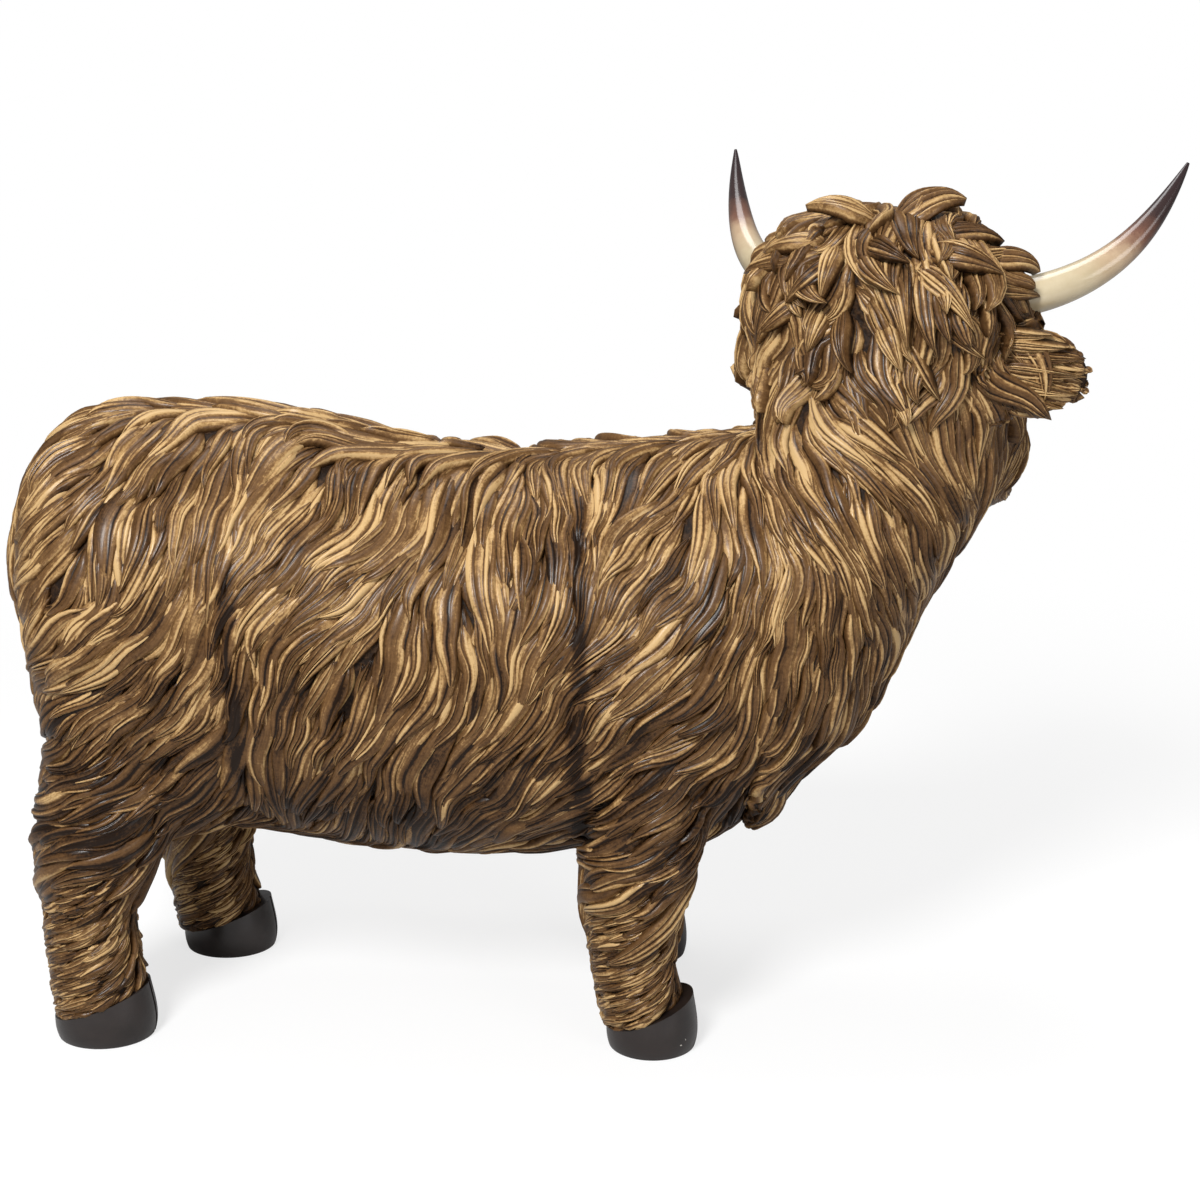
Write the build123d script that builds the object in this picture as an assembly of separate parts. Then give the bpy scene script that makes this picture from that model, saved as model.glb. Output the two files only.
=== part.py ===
from build123d import *
import math
import os

# Standing long-haired cow, an ornament of hollow castings glued together.
# Millimetres. +X is the way the body faces, +Y is the animal's left, +Z is up.
# While it is built, X is zero between the front and the rear legs, Y on the
# body's middle plane and Z on the floor. Last, the whole moves so that the
# origin lies under the middle of its box.

# Overall sizes of the animal
body_length = 289.0
rump_to_zero = 226.0
back_height = 243.0
body_width = 136.0
crown_height = 318.0

# Castings and the lips that locate them in each other
wall = 5.0
glue_gap = 0.3
lip_relief = 1.5
lip_thickness = 3.5
lip_length = 9.0
overrun = 1.0

# Sections across the body: how far along from the rump, top, underside, width
rear_join_section_share = (0.329, 0.990, 0.318, 1.00)
front_join_section_share = (0.763, 0.938, 0.285, 1.00)
neck_join_section_share = (1.000, 0.968, 0.335, 0.92)
hindquarter_shares = (
    (0.000, 0.830, 0.650, 0.20),
    (0.010, 0.875, 0.550, 0.46),
    (0.028, 0.918, 0.455, 0.69),
    (0.054, 0.950, 0.390, 0.84),
    (0.088, 0.974, 0.358, 0.92),
    (0.130, 0.988, 0.344, 0.965),
    (0.180, 0.994, 0.336, 0.99),
    (0.230, 0.995, 0.330, 1.00),
    (0.280, 0.993, 0.324, 1.00),
    rear_join_section_share,
)
barrel_shares = (
    rear_join_section_share,
    (0.410, 0.978, 0.302, 1.00),
    (0.514, 0.948, 0.286, 1.00),
    (0.627, 0.928, 0.284, 1.00),
    front_join_section_share,
)
forequarter_shares = (
    front_join_section_share,
    (0.886, 0.950, 0.292, 0.98),
    neck_join_section_share,
)

# Level sections up the chest and neck: height, back, front and width
neck_reach = 104.0
neck_shares = (
    (0.252, -0.26, 0.09, 0.34),
    (0.300, -0.45, 0.24, 0.68),
    (0.390, -0.55, 0.38, 0.89),
    (0.500, -0.55, 0.54, 0.95),
    (0.600, -0.38, 0.70, 0.89),
    (0.680, -0.20, 0.83, 0.79),
    (0.745, -0.06, 0.84, 0.68),
    (0.810, 0.00, 0.76, 0.62),
    (0.880, 0.08, 0.70, 0.54),
)
collar_length = 10.0
collar_taper_share = 0.98

# Head: how far forward, top, underside and width, seen along its own facing
head_ahead = 48.0
head_aside = 5.0
head_turn = 60.0
head_length = 130.0
head_width = 106.0
poll_depth = 46.0
head_shares = (
    (0.000, 0.925, 0.840, 0.34),
    (0.025, 0.955, 0.812, 0.58),
    (0.090, 0.985, 0.780, 0.82),
    (0.210, 1.000, 0.752, 0.97),
    (0.350, 1.000, 0.724, 0.98),
    (0.480, 0.980, 0.694, 0.90),
    (0.600, 0.930, 0.655, 0.77),
    (0.720, 0.862, 0.622, 0.65),
    (0.830, 0.795, 0.602, 0.57),
    (0.920, 0.748, 0.594, 0.54),
    (0.975, 0.722, 0.602, 0.47),
    (1.000, 0.700, 0.618, 0.33),
)

# Horns, by how far they reach past the head's sides, on the head's own axes:
# out to the side, forward, rise and radius
horn_reach = 40.0
horn_forward = 42.0
horn_rise = 46.0
horn_base_height = 287.0
horn_radius = 7.2
horn_shares = (
    (0.42, -0.08, -0.05, 1.00),
    (0.52, 0.02, -0.02, 0.98),
    (0.62, 0.14, 0.04, 0.94),
    (0.75, 0.34, 0.18, 0.84),
    (0.86, 0.58, 0.40, 0.69),
    (0.94, 0.80, 0.68, 0.45),
    (0.985, 0.95, 0.91, 0.20),
    (1.00, 1.00, 1.00, 0.08),
)
horn_spigot_radius = 5.0
horn_spigot_length = 24.0
horn_pin_radius = 1.5
horn_pin_length = 30.0
socket_gap = 0.1

# Ears, by how far they reach past the head's sides, on the head's own axes:
# out to the side, forward, rise, half height and half thickness
ear_reach = 23.0
ear_height = 261.0
ear_forward = 20.0
ear_half_height = 17.0
ear_half_thickness = 6.5
ear_shares = (
    (0.38, -1.25, 0.00, 0.78, 0.85),
    (0.52, -0.95, 0.03, 0.96, 1.00),
    (0.66, -0.62, 0.03, 1.00, 1.00),
    (0.79, -0.32, 0.00, 0.88, 0.90),
    (0.90, -0.10, -0.05, 0.66, 0.75),
    (0.97, 0.04, -0.08, 0.40, 0.50),
    (1.00, 0.10, -0.10, 0.16, 0.22),
)
ear_tenon_radius = 3.5
ear_tenon_length = 20.0

# Legs: the joint under the body, how far apart, and the shape up each leg
leg_joint_height = 78.0
leg_spread = 84.0
rear_leg_width = 36.0
front_leg_width = 33.0
leg_depth = 35.0
# Each row: height, lean along the body, length along the body, depth across it
rear_right_leg_shares = (
    (0.04, 0.00, 1.04, 1.00),
    (0.28, -0.08, 1.04, 0.96),
    (0.48, -0.12, 1.00, 0.95),
    (0.68, -0.13, 1.02, 1.00),
    (0.86, -0.07, 1.22, 1.12),
    (1.00, 0.00, 1.42, 1.22),
)
rear_right_thigh_shares = (
    (1.00, 0.00, 1.42, 1.22),
    (1.35, 0.06, 1.56, 1.20),
    (1.70, 0.06, 1.50, 1.14),
)
rear_left_leg_shares = (
    (0.04, 0.00, 1.04, 1.00),
    (0.28, -0.14, 1.00, 0.96),
    (0.48, -0.18, 0.94, 0.95),
    (0.68, -0.20, 0.98, 1.00),
    (0.86, -0.26, 1.16, 1.12),
    (1.00, -0.32, 1.36, 1.22),
)
rear_left_thigh_shares = (
    (1.00, -0.32, 1.36, 1.22),
    (1.35, -0.46, 1.52, 1.20),
    (1.70, -0.52, 1.50, 1.14),
)
front_leg_shares = (
    (0.04, 0.00, 1.00, 0.98),
    (0.25, -0.14, 0.94, 0.94),
    (0.40, -0.20, 0.95, 0.92),
    (0.58, -0.22, 1.02, 0.98),
    (0.80, -0.18, 1.18, 1.10),
    (1.00, -0.14, 1.28, 1.20),
)
front_thigh_shares = (
    (1.00, -0.14, 1.28, 1.20),
    (1.35, -0.10, 1.30, 1.28),
    (1.70, -0.10, 1.30, 1.26),
)
# How far each rear hoof stands from the rump, and each front one from the front join
rear_right_from_rump = 34.0
rear_left_from_rump = 65.0
front_right_from_join = 27.5
front_left_from_join = 23.0

# Hooves: the hair line at the toe and at the heel, and the split at the toe
hoof_toe_height = 22.0
hoof_heel_height = 8.0
rear_hoof_length = 39.0
front_hoof_length = 35.0
hoof_width = 35.0
split_width = 1.6
split_depth = 2.4
hoof_shares = (
    (0.00, 0.96, 0.94),
    (0.14, 1.00, 1.00),
    (0.60, 0.98, 0.98),
    (1.20, 0.88, 0.92),
)

# Steel rods that dowel hoof, leg and body together
rod_radius = 3.0
rod_gap = 0.1
rod_in_hoof = 5.0
rod_in_body = 26.0
rear_right_rod_share = -0.07
rear_left_rod_share = -0.18
front_rod_share = -0.15

# Tail: way down, how proud of the rump its middle lies, half width and half thickness
tail_half_width = 8.0
tail_half_thickness = 6.0
tail_top_height = 222.0
tail_length = 128.0
tail_shares = (
    (0.00, -0.47, 0.70, 0.80),
    (0.13, -0.32, 0.85, 1.00),
    (0.29, -0.15, 0.85, 1.05),
    (0.56, -0.03, 0.95, 1.10),
    (0.78, 0.28, 1.30, 1.35),
    (0.92, 0.75, 1.20, 1.35),
    (1.00, 1.12, 0.60, 0.90),
)
tail_peg_radius = 3.0
tail_peg_length = 10.0
tail_peg_start_share = 0.8

# Plug of the pour hole under the belly
plug_radius = 9.0
plug_gap = 0.15
plug_length = 9.0
plug_share = 0.53

rump_x = -rump_to_zero
neck_join_x = rump_x + body_length
front_join_x = rump_x + front_join_section_share[0] * body_length
turn = math.radians(head_turn)
facing = Vector(math.cos(turn), math.sin(turn), 0)
right_side = Vector(math.sin(turn), -math.cos(turn), 0)
horn_span = head_width / 2 + horn_reach
ear_span = head_width / 2 + ear_reach
head_centre = Vector(neck_join_x + head_ahead, head_aside, 0)
upright = Vector(0, 0, 1)
whole_size = body_length + crown_height + body_width

legs = {
    "rear_right": {
        "x": rump_x + rear_right_from_rump, "y": -leg_spread / 2,
        "width": rear_leg_width, "hoof": rear_hoof_length,
        "shares": rear_right_leg_shares, "thigh": rear_right_thigh_shares,
        "rod": rear_right_rod_share, "shell": "hindquarter_shell",
    },
    "rear_left": {
        "x": rump_x + rear_left_from_rump, "y": leg_spread / 2,
        "width": rear_leg_width, "hoof": rear_hoof_length,
        "shares": rear_left_leg_shares, "thigh": rear_left_thigh_shares,
        "rod": rear_left_rod_share, "shell": "hindquarter_shell",
    },
    "front_right": {
        "x": front_join_x + front_right_from_join, "y": -leg_spread / 2,
        "width": front_leg_width, "hoof": front_hoof_length,
        "shares": front_leg_shares, "thigh": front_thigh_shares,
        "rod": front_rod_share, "shell": "forequarter_shell",
    },
    "front_left": {
        "x": front_join_x + front_left_from_join, "y": leg_spread / 2,
        "width": front_leg_width, "hoof": front_hoof_length,
        "shares": front_leg_shares, "thigh": front_thigh_shares,
        "rod": front_rod_share, "shell": "forequarter_shell",
    },
}
sides = {"right": 1, "left": -1}


def ellipse_at(origin, x_dir, normal, half_x, half_y):
    """Ellipse whose first half axis lies along x_dir, square to normal."""
    return Plane(origin=origin, x_dir=x_dir, z_dir=normal) * Ellipse(half_x, half_y)


def bar(start, direction, radius, length):
    """Round bar from start along direction."""
    bottom = Align.CENTER, Align.CENTER, Align.MIN
    return Plane(origin=start, z_dir=direction) * Cylinder(radius, length, align=bottom)


def behind(origin, normal):
    """Everything on the far side of the plane through origin, away from normal."""
    block = Box(whole_size, whole_size, whole_size, align=(Align.CENTER, Align.CENTER, Align.MAX))
    return Plane(origin=origin, z_dir=normal) * block


def body_section(row, inset, scale=1.0):
    """Middle and half sizes of one section across the body."""
    along, top, bottom, width = row
    high, low = top * back_height, bottom * back_height
    middle = Vector(rump_x + along * body_length, 0, (high + low) / 2)
    return middle, width * body_width / 2 * scale - inset, (high - low) / 2 * scale - inset


def body_form(rows, inset):
    """Stretch of the body through its sections, drawn in by inset and then open at the joins."""
    faces = []
    for row in rows:
        middle, half_width, half_height = body_section(row, inset)
        if inset and row is rows[-1]:
            middle += Vector(overrun, 0, 0)
        elif inset and row in (rear_join_section_share, front_join_section_share):
            middle -= Vector(overrun, 0, 0)
        faces.append(ellipse_at(middle, (0, 1, 0), (1, 0, 0), half_width, half_height))
    return loft(faces)


def stretch_slab(rows):
    """Everything between the first and the last section of a stretch."""
    low_x = rump_x + rows[0][0] * body_length
    length = (rows[-1][0] - rows[0][0]) * body_length
    low_corner = Align.MIN, Align.CENTER, Align.CENTER
    return Pos(low_x, 0, 0) * Box(length, whole_size, whole_size * 2, align=low_corner)


def inner_rows(rows):
    """The rows that the hollow follows: it starts flat, a wall or more inside the rump."""
    return [row for row in rows if rows[0][0] or row[0] * body_length > wall]


def ring_at(row, low_inset, high_inset, low_x, high_x):
    """Ring along X between two places, cut from one section of the body."""
    middle, half_width, half_height = body_section(row, 0)
    plane = Plane(origin=(low_x, 0, middle.Z), x_dir=(0, 1, 0), z_dir=(1, 0, 0))
    ring = Ellipse(half_width - low_inset, half_height - low_inset)
    ring -= Ellipse(half_width - high_inset, half_height - high_inset)
    return extrude(plane * ring, high_x - low_x)


def locating_lip(row, way):
    """Lip out of a casting's end at row, towards way, with the flange that carries it."""
    x = rump_x + row[0] * body_length
    outside = wall + glue_gap + lip_relief
    inside = outside + lip_thickness
    low_x, high_x = sorted((x, x - way * lip_thickness))
    flange = ring_at(row, wall / 2, inside, low_x, high_x)
    low_x, high_x = sorted((x - way * lip_thickness, x + way * lip_length))
    return flange + ring_at(row, outside, inside, low_x, high_x)


def leg_form(leg, rows):
    """Stretch of a leg through its level sections."""
    faces = []
    for height, lean, wide, deep in rows:
        origin = Vector(leg["x"] + lean * leg["width"], leg["y"], height * leg_joint_height)
        half_x, half_y = wide * leg["width"] / 2, deep * leg_depth / 2
        faces.append(ellipse_at(origin, (1, 0, 0), upright, half_x, half_y))
    return loft(faces)


def rod_bar(leg, radius, low_z, high_z):
    """Upright bar on the line of the leg's rod."""
    start = Vector(leg["x"] + leg["rod"] * leg["width"], leg["y"], low_z)
    return bar(start, upright, radius, high_z - low_z)


def make_body_shells():
    """The three body castings with thighs, rod holes and locating lips."""
    rod_top = leg_joint_height + rod_in_body
    stretches = {
        "hindquarter_shell": hindquarter_shares,
        "barrel_shell": barrel_shares,
        "forequarter_shell": forequarter_shares,
    }
    lips = {
        "hindquarter_shell": ((rear_join_section_share, 1),),
        "barrel_shell": (),
        "forequarter_shell": ((front_join_section_share, -1), (neck_join_section_share, 1)),
    }
    outers, shells = {}, {}
    for name, rows in stretches.items():
        outers[name] = body_form(rows, 0)
        shell = outers[name] - body_form(inner_rows(rows), wall)
        for row, way in lips[name]:
            shell += locating_lip(row, way)
        for leg in legs.values():
            if leg["shell"] == name:
                shell += leg_form(leg, leg["thigh"]) & stretch_slab(rows)
                shell -= rod_bar(leg, rod_radius + rod_gap, 0, rod_top)
        shells[name] = shell
    return outers, shells


def neck_form(inset):
    """Chest and neck through level sections, up into the head."""
    faces = []
    for height, back, front, width in neck_shares:
        half_x = (front - back) * neck_reach / 2
        half_y = width * body_width / 2
        if min(half_x, half_y) <= inset * 4:
            continue
        x = neck_join_x + (front + back) * neck_reach / 2
        origin = Vector(x, 0, height * crown_height)
        faces.append(ellipse_at(origin, (1, 0, 0), upright, half_x - inset, half_y - inset))
    return loft(faces)


def collar_form(inset):
    """Short tapered stretch in front of the shoulders, which clears their lip."""
    middle, half_width, half_height = body_section(neck_join_section_share, inset)
    ahead = middle + Vector(collar_length, 0, 0)
    taper = collar_taper_share
    first = ellipse_at(middle, (0, 1, 0), (1, 0, 0), half_width, half_height)
    last = ellipse_at(ahead, (0, 1, 0), (1, 0, 0), half_width * taper, half_height * taper)
    return loft([first, last])


def head_form(inset):
    """Poll to muzzle along the head's own facing."""
    faces = []
    for along, top, bottom, width in head_shares:
        forward = inset - poll_depth + along * (head_length - 2 * inset)
        high, low = top * crown_height, bottom * crown_height
        origin = head_centre + facing * forward + upright * ((high + low) / 2)
        half_width = width * head_width / 2 - inset
        half_height = (high - low) / 2 - inset
        faces.append(ellipse_at(origin, right_side, facing, half_width, half_height))
    return loft(faces)


def head_neck_outer():
    """Outer form of the casting in front of the shoulders."""
    neck = neck_form(0) - behind(Vector(neck_join_x, 0, 0), Vector(1, 0, 0))
    return neck + head_form(0)


def head_point(side, out, forward, height):
    """Point on the head's own axes, out to one side of its middle."""
    return head_centre + right_side * (side * out) + facing * forward + upright * height


def horn_points(side):
    """Middle line of a horn with its radii."""
    places = []
    for out, forward, rise, thick in horn_shares:
        height = horn_base_height + rise * horn_rise
        point = head_point(side, out * horn_span, forward * horn_forward, height)
        places.append((point, thick * horn_radius))
    return places


def horn_axis(side):
    """Start and direction of a horn's spigot and pin, at its root."""
    places = horn_points(side)
    root = places[0][0]
    return root, (places[2][0] - root).normalized()


def make_horn(side, outer):
    """Horn with its spigot, bored for the pin."""
    places = horn_points(side)
    faces = []
    for index, (point, radius) in enumerate(places):
        before = places[max(index - 1, 0)][0]
        after = places[min(index + 1, len(places) - 1)][0]
        direction = (after - before).normalized()
        faces.append(Plane(origin=point, z_dir=direction) * Circle(radius))
    root, direction = horn_axis(side)
    horn = loft(faces) - outer
    horn += bar(root, direction, horn_spigot_radius, horn_spigot_length)
    return horn - bar(root, direction, horn_pin_radius + socket_gap, horn_pin_length)


def ear_axis(side):
    """Start and direction of an ear's tenon, inside the head."""
    first, last = ear_shares[0], ear_shares[3]
    ends = []
    for out, forward, rise, _, _ in (first, last):
        height = ear_height + rise * ear_half_height
        ends.append(head_point(side, out * ear_span, forward * ear_forward, height))
    return ends[0], (ends[1] - ends[0]).normalized()


def make_ear(side, outer):
    """Ear, a flat rounded paddle, with its tenon."""
    start, direction = ear_axis(side)
    across = direction.cross(upright).normalized()
    faces = []
    for out, forward, rise, high, thick in ear_shares:
        height = ear_height + rise * ear_half_height
        origin = head_point(side, out * ear_span, forward * ear_forward, height)
        half_x, half_y = thick * ear_half_thickness, high * ear_half_height
        faces.append(ellipse_at(origin, across, direction, half_x, half_y))
    ear = loft(faces) - outer
    return ear + bar(start, direction, ear_tenon_radius, ear_tenon_length)


def make_head_neck(outer):
    """Hollow casting of neck and head, with sockets for horns and ears."""
    shell = outer - neck_form(wall) - collar_form(wall) - head_form(wall)
    for side in sides.values():
        root, direction = horn_axis(side)
        socket = horn_spigot_radius + socket_gap
        shell -= bar(root, direction, socket, horn_spigot_length)
        start, direction = ear_axis(side)
        shell -= bar(start, direction, ear_tenon_radius + socket_gap, ear_tenon_length)
    return shell


def hair_line(leg):
    """Plane where the leg's hair ends over the hoof, lower at the heel."""
    slope = math.atan2(hoof_toe_height - hoof_heel_height, leg["hoof"])
    middle = Vector(leg["x"], leg["y"], (hoof_toe_height + hoof_heel_height) / 2)
    return middle, Vector(-math.sin(slope), 0, math.cos(slope))


def make_leg(leg, outer, barrel):
    """Leg casting between the hoof's hair line and the joint under the body."""
    middle, normal = hair_line(leg)
    shape = leg_form(leg, leg["shares"]) - behind(middle, normal) - outer - barrel
    return shape - rod_bar(leg, rod_radius + rod_gap, 0, leg_joint_height + overrun)


def make_hoof(leg):
    """Hoof from its flat sole up to the hair line, split at the toe."""
    faces = []
    for height, long, wide in hoof_shares:
        origin = Vector(leg["x"], leg["y"], height * hoof_toe_height)
        half_x, half_y = long * leg["hoof"] / 2, wide * hoof_width / 2
        faces.append(ellipse_at(origin, (1, 0, 0), upright, half_x, half_y))
    middle, normal = hair_line(leg)
    hoof = loft(faces) & behind(middle, normal)
    split = Box(split_depth * 2, split_width, hoof_toe_height * 4)
    hoof -= Pos(leg["x"] + leg["hoof"] / 2, leg["y"], 0) * split
    return hoof - rod_bar(leg, rod_radius + rod_gap, rod_in_hoof, hoof_toe_height * 2)


def rump_surface_x(height):
    """Place of the rump's skin on the middle plane, between the sections that round it off."""
    upper = height > (hindquarter_shares[0][1] + hindquarter_shares[0][2]) * back_height / 2
    column = 1 if upper else 2
    rows = hindquarter_shares[:4]
    for near, far in zip(rows, rows[1:]):
        low, high = near[column] * back_height, far[column] * back_height
        share = (height - low) / (high - low)
        if share < 1:
            return rump_x + (near[0] + max(share, 0) * (far[0] - near[0])) * body_length
    return rump_x + rows[-1][0] * body_length


def tail_middle(row):
    """Middle of one section of the tail."""
    height = tail_top_height - row[0] * tail_length
    return Vector(rump_surface_x(height) - row[1] * tail_half_thickness, 0, height)


def tail_peg():
    """Peg that locates the tail in a blind hole of the rump."""
    inside_tail = Vector(tail_peg_start_share * tail_half_thickness, 0, 0)
    return tail_middle(tail_shares[2]) - inside_tail, Vector(1, 0, 0)


def make_tail(outer):
    """Tail down the middle of the rump, with its tuft."""
    faces = []
    for row in tail_shares:
        half_x, half_y = row[3] * tail_half_thickness, row[2] * tail_half_width
        faces.append(ellipse_at(tail_middle(row), (1, 0, 0), upright, half_x, half_y))
    start, direction = tail_peg()
    return loft(faces) - outer + bar(start, direction, tail_peg_radius, tail_peg_length)


def plug_bar(radius, low_z, high_z):
    """Upright bar on the plug's line under the belly."""
    start = Vector(rump_x + plug_share * body_length, 0, low_z)
    return bar(start, upright, radius, high_z - low_z)


def make_parts():
    """Every piece by its node's name."""
    outers, parts = make_body_shells()
    start, direction = tail_peg()
    rear = parts["hindquarter_shell"]
    rear -= bar(start, direction, tail_peg_radius + socket_gap, tail_peg_length + socket_gap)
    parts["hindquarter_shell"] = rear
    parts["tail"] = make_tail(outers["hindquarter_shell"])

    belly = barrel_shares[2][2] * back_height
    barrel = outers["barrel_shell"]
    plug_top = belly + plug_length
    parts["barrel_shell"] -= plug_bar(plug_radius + plug_gap, 0, plug_top)
    parts["belly_plug"] = barrel & plug_bar(plug_radius, 0, plug_top)

    outer = head_neck_outer()
    parts["head_neck_shell"] = make_head_neck(outer)
    for name, side in sides.items():
        parts[name + "_horn"] = make_horn(side, outer)
        parts[name + "_ear"] = make_ear(side, outer)
        root, direction = horn_axis(side)
        pin = bar(root, direction, horn_pin_radius, horn_pin_length - socket_gap)
        parts[name + "_horn_pin"] = pin

    rod_top = leg_joint_height + rod_in_body - rod_gap
    for name, leg in legs.items():
        parts[name + "_leg"] = make_leg(leg, outers[leg["shell"]], barrel)
        parts[name + "_hoof"] = make_hoof(leg)
        parts[name + "_rod"] = rod_bar(leg, rod_radius, rod_in_hoof + rod_gap, rod_top)
    return parts


def stand_on_origin(parts):
    """Moves everything so that the origin is under the middle of the box."""
    boxes = [shape.bounding_box() for shape in parts.values()]
    low_x, high_x = min(b.min.X for b in boxes), max(b.max.X for b in boxes)
    low_y, high_y = min(b.min.Y for b in boxes), max(b.max.Y for b in boxes)
    low_z = min(b.min.Z for b in boxes)
    shift = Pos(-(low_x + high_x) / 2, -(low_y + high_y) / 2, -low_z)
    print("moved by", shift.position)
    return {name: shift * shape for name, shape in parts.items()}


if __name__ == "__main__":
    os.makedirs("parts", exist_ok=True)
    for node, shape in stand_on_origin(make_parts()).items():
        export_step(shape, "parts/" + node + ".step")
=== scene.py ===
"""Looks of the cow figurine: painted castings under closed locks of cast hair."""

import math

import bmesh
import bpy
import numpy as np
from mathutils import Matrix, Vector
from mathutils.bvhtree import BVHTree


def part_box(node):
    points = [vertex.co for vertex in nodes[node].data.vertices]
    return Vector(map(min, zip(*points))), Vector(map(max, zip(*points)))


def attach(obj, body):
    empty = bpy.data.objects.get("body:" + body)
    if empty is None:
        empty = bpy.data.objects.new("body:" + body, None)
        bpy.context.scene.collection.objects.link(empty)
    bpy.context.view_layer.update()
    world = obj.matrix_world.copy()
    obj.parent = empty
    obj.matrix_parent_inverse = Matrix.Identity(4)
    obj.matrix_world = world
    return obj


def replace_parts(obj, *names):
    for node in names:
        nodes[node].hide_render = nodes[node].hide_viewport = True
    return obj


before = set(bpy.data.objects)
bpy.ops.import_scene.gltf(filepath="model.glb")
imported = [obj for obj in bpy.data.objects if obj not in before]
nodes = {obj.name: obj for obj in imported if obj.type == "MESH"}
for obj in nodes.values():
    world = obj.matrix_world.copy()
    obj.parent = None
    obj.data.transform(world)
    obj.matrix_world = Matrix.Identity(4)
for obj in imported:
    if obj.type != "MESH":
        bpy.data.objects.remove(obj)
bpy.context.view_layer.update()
rng = np.random.default_rng(7)
metre = 0.001

# Everything below is worked out in millimetres and written to the meshes in metres.
# The middle plane of the body and the places of the joins come from the frame.


def box_of(node):
    """Lowest and highest corner of a node, in millimetres."""
    low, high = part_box(node)
    return np.array(low) / metre, np.array(high) / metre


hoof_low, hoof_high = box_of("rear_right_hoof")
middle_y = (hoof_low[1] + box_of("rear_left_hoof")[1][1]) / 2
rear_hoof_x = (hoof_low[0] + hoof_high[0]) / 2
rear_hoof_from_zero = -192.0
origin = np.array([rear_hoof_x - rear_hoof_from_zero, middle_y, 0.0])
rear_join_x = box_of("barrel_shell")[0][0]
front_join_x = box_of("barrel_shell")[1][0]

# The photograph's camera
camera_pitch = math.radians(15.0)
camera_turn = math.radians(2.5)
camera_distance = 800.0
camera_target_height = 166.0
camera_lens = 61.8
sensor_width = 36.0
picture_side = 1200

sight = np.array([
    -math.sin(camera_turn) * math.cos(camera_pitch),
    math.cos(camera_turn) * math.cos(camera_pitch),
    -math.sin(camera_pitch),
])
sight_right = np.array([math.cos(camera_turn), math.sin(camera_turn), 0.0])
sight_up = np.cross(sight_right, sight)
camera_place = origin + [0, 0, camera_target_height] - sight * camera_distance


def make_camera():
    """Camera at the photograph's viewing angle."""
    data = bpy.data.cameras.new("camera")
    data.lens = camera_lens
    data.sensor_width = sensor_width
    data.clip_start, data.clip_end = 0.05, 20.0
    camera = bpy.data.objects.new("camera", data)
    bpy.context.scene.collection.objects.link(camera)
    camera.location = Vector(camera_place * metre)
    camera.rotation_mode = "QUATERNION"
    camera.rotation_quaternion = Vector(sight).to_track_quat("-Z", "Y")
    bpy.context.scene.camera = camera


def pixel_ray(u, v):
    """Direction from the camera through a pixel of the photograph."""
    side = sensor_width / camera_lens / picture_side
    across = (u - picture_side / 2) * side
    up = (picture_side / 2 - v) * side
    way = sight + sight_right * across + sight_up * up
    return way / np.linalg.norm(way)


# Node materials


class Paint:
    """Short way to build a node material."""

    def __init__(self, name):
        self.material = bpy.data.materials.new(name)
        self.material.use_nodes = True
        self.tree = self.material.node_tree
        self.shader = self.tree.nodes["Principled BSDF"]

    def node(self, kind, inputs=None, **settings):
        """Adds a node. A value that is a socket is linked, any other is set."""
        made = self.tree.nodes.new(kind)
        for key, value in settings.items():
            setattr(made, key, value)
        self.fill(made, inputs or {})
        return made

    def fill(self, node, inputs):
        for key, value in inputs.items():
            if isinstance(value, bpy.types.NodeSocket):
                self.tree.links.new(value, node.inputs[key])
            else:
                node.inputs[key].default_value = value

    def math(self, operation, a, b=0.0, c=0.0):
        made = self.node("ShaderNodeMath", {0: a, 1: b, 2: c}, operation=operation)
        return made.outputs[0]

    def attribute(self, name, output="Fac"):
        return self.node("ShaderNodeAttribute", attribute_name=name).outputs[output]

    def noise(self, vector, scale, detail=3.0, roughness=0.55):
        made = self.node("ShaderNodeTexNoise", {
            "Vector": vector, "Scale": scale, "Detail": detail, "Roughness": roughness,
        })
        return made.outputs["Fac"]

    def place(self):
        """Object coordinates, in metres of the frame."""
        return self.node("ShaderNodeTexCoord").outputs["Object"]

    def stretched(self, vector, scales):
        made = self.node("ShaderNodeMapping", {"Vector": vector, "Scale": scales})
        return made.outputs[0]

    def ramp(self, value, stops):
        """Colour ramp through (place, colour) stops."""
        made = self.node("ShaderNodeValToRGB", {"Fac": value})
        ramp = made.color_ramp
        while len(ramp.elements) > 1:
            ramp.elements.remove(ramp.elements[0])
        ramp.elements[0].position = stops[0][0]
        ramp.elements[0].color = (*stops[0][1], 1.0)
        for place, colour in stops[1:]:
            ramp.elements.new(place).color = (*colour, 1.0)
        return made.outputs["Color"]

    def mix(self, share, a, b):
        """Colour mix. The colours' sockets are the seventh and eighth, their result the third."""
        return self.node("ShaderNodeMix", {0: share, 6: a, 7: b}, data_type="RGBA").outputs[2]

    def bump(self, height, strength, distance):
        made = self.node("ShaderNodeBump", {
            "Height": height, "Strength": strength, "Distance": distance,
        })
        self.tree.links.new(made.outputs[0], self.shader.inputs["Normal"])

    def surface(self, colour, roughness, coat=0.0, coat_roughness=0.03, specular=0.5, metal=0.0):
        """Colour and gloss, with clear lacquer on top."""
        self.fill(self.shader, {
            "Base Color": colour, "Roughness": roughness, "Coat Weight": coat, "Metallic": metal,
            "Coat Roughness": coat_roughness, "Specular IOR Level": specular,
        })


horn_fade_length = 0.058
groove_colour = (0.012, 0.0052, 0.0020)
brown_colour = (0.076, 0.036, 0.0130)
warm_brown_colour = (0.150, 0.077, 0.029)
tan_colour = (0.365, 0.218, 0.088)
pale_tan_colour = (0.53, 0.350, 0.160)


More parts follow.
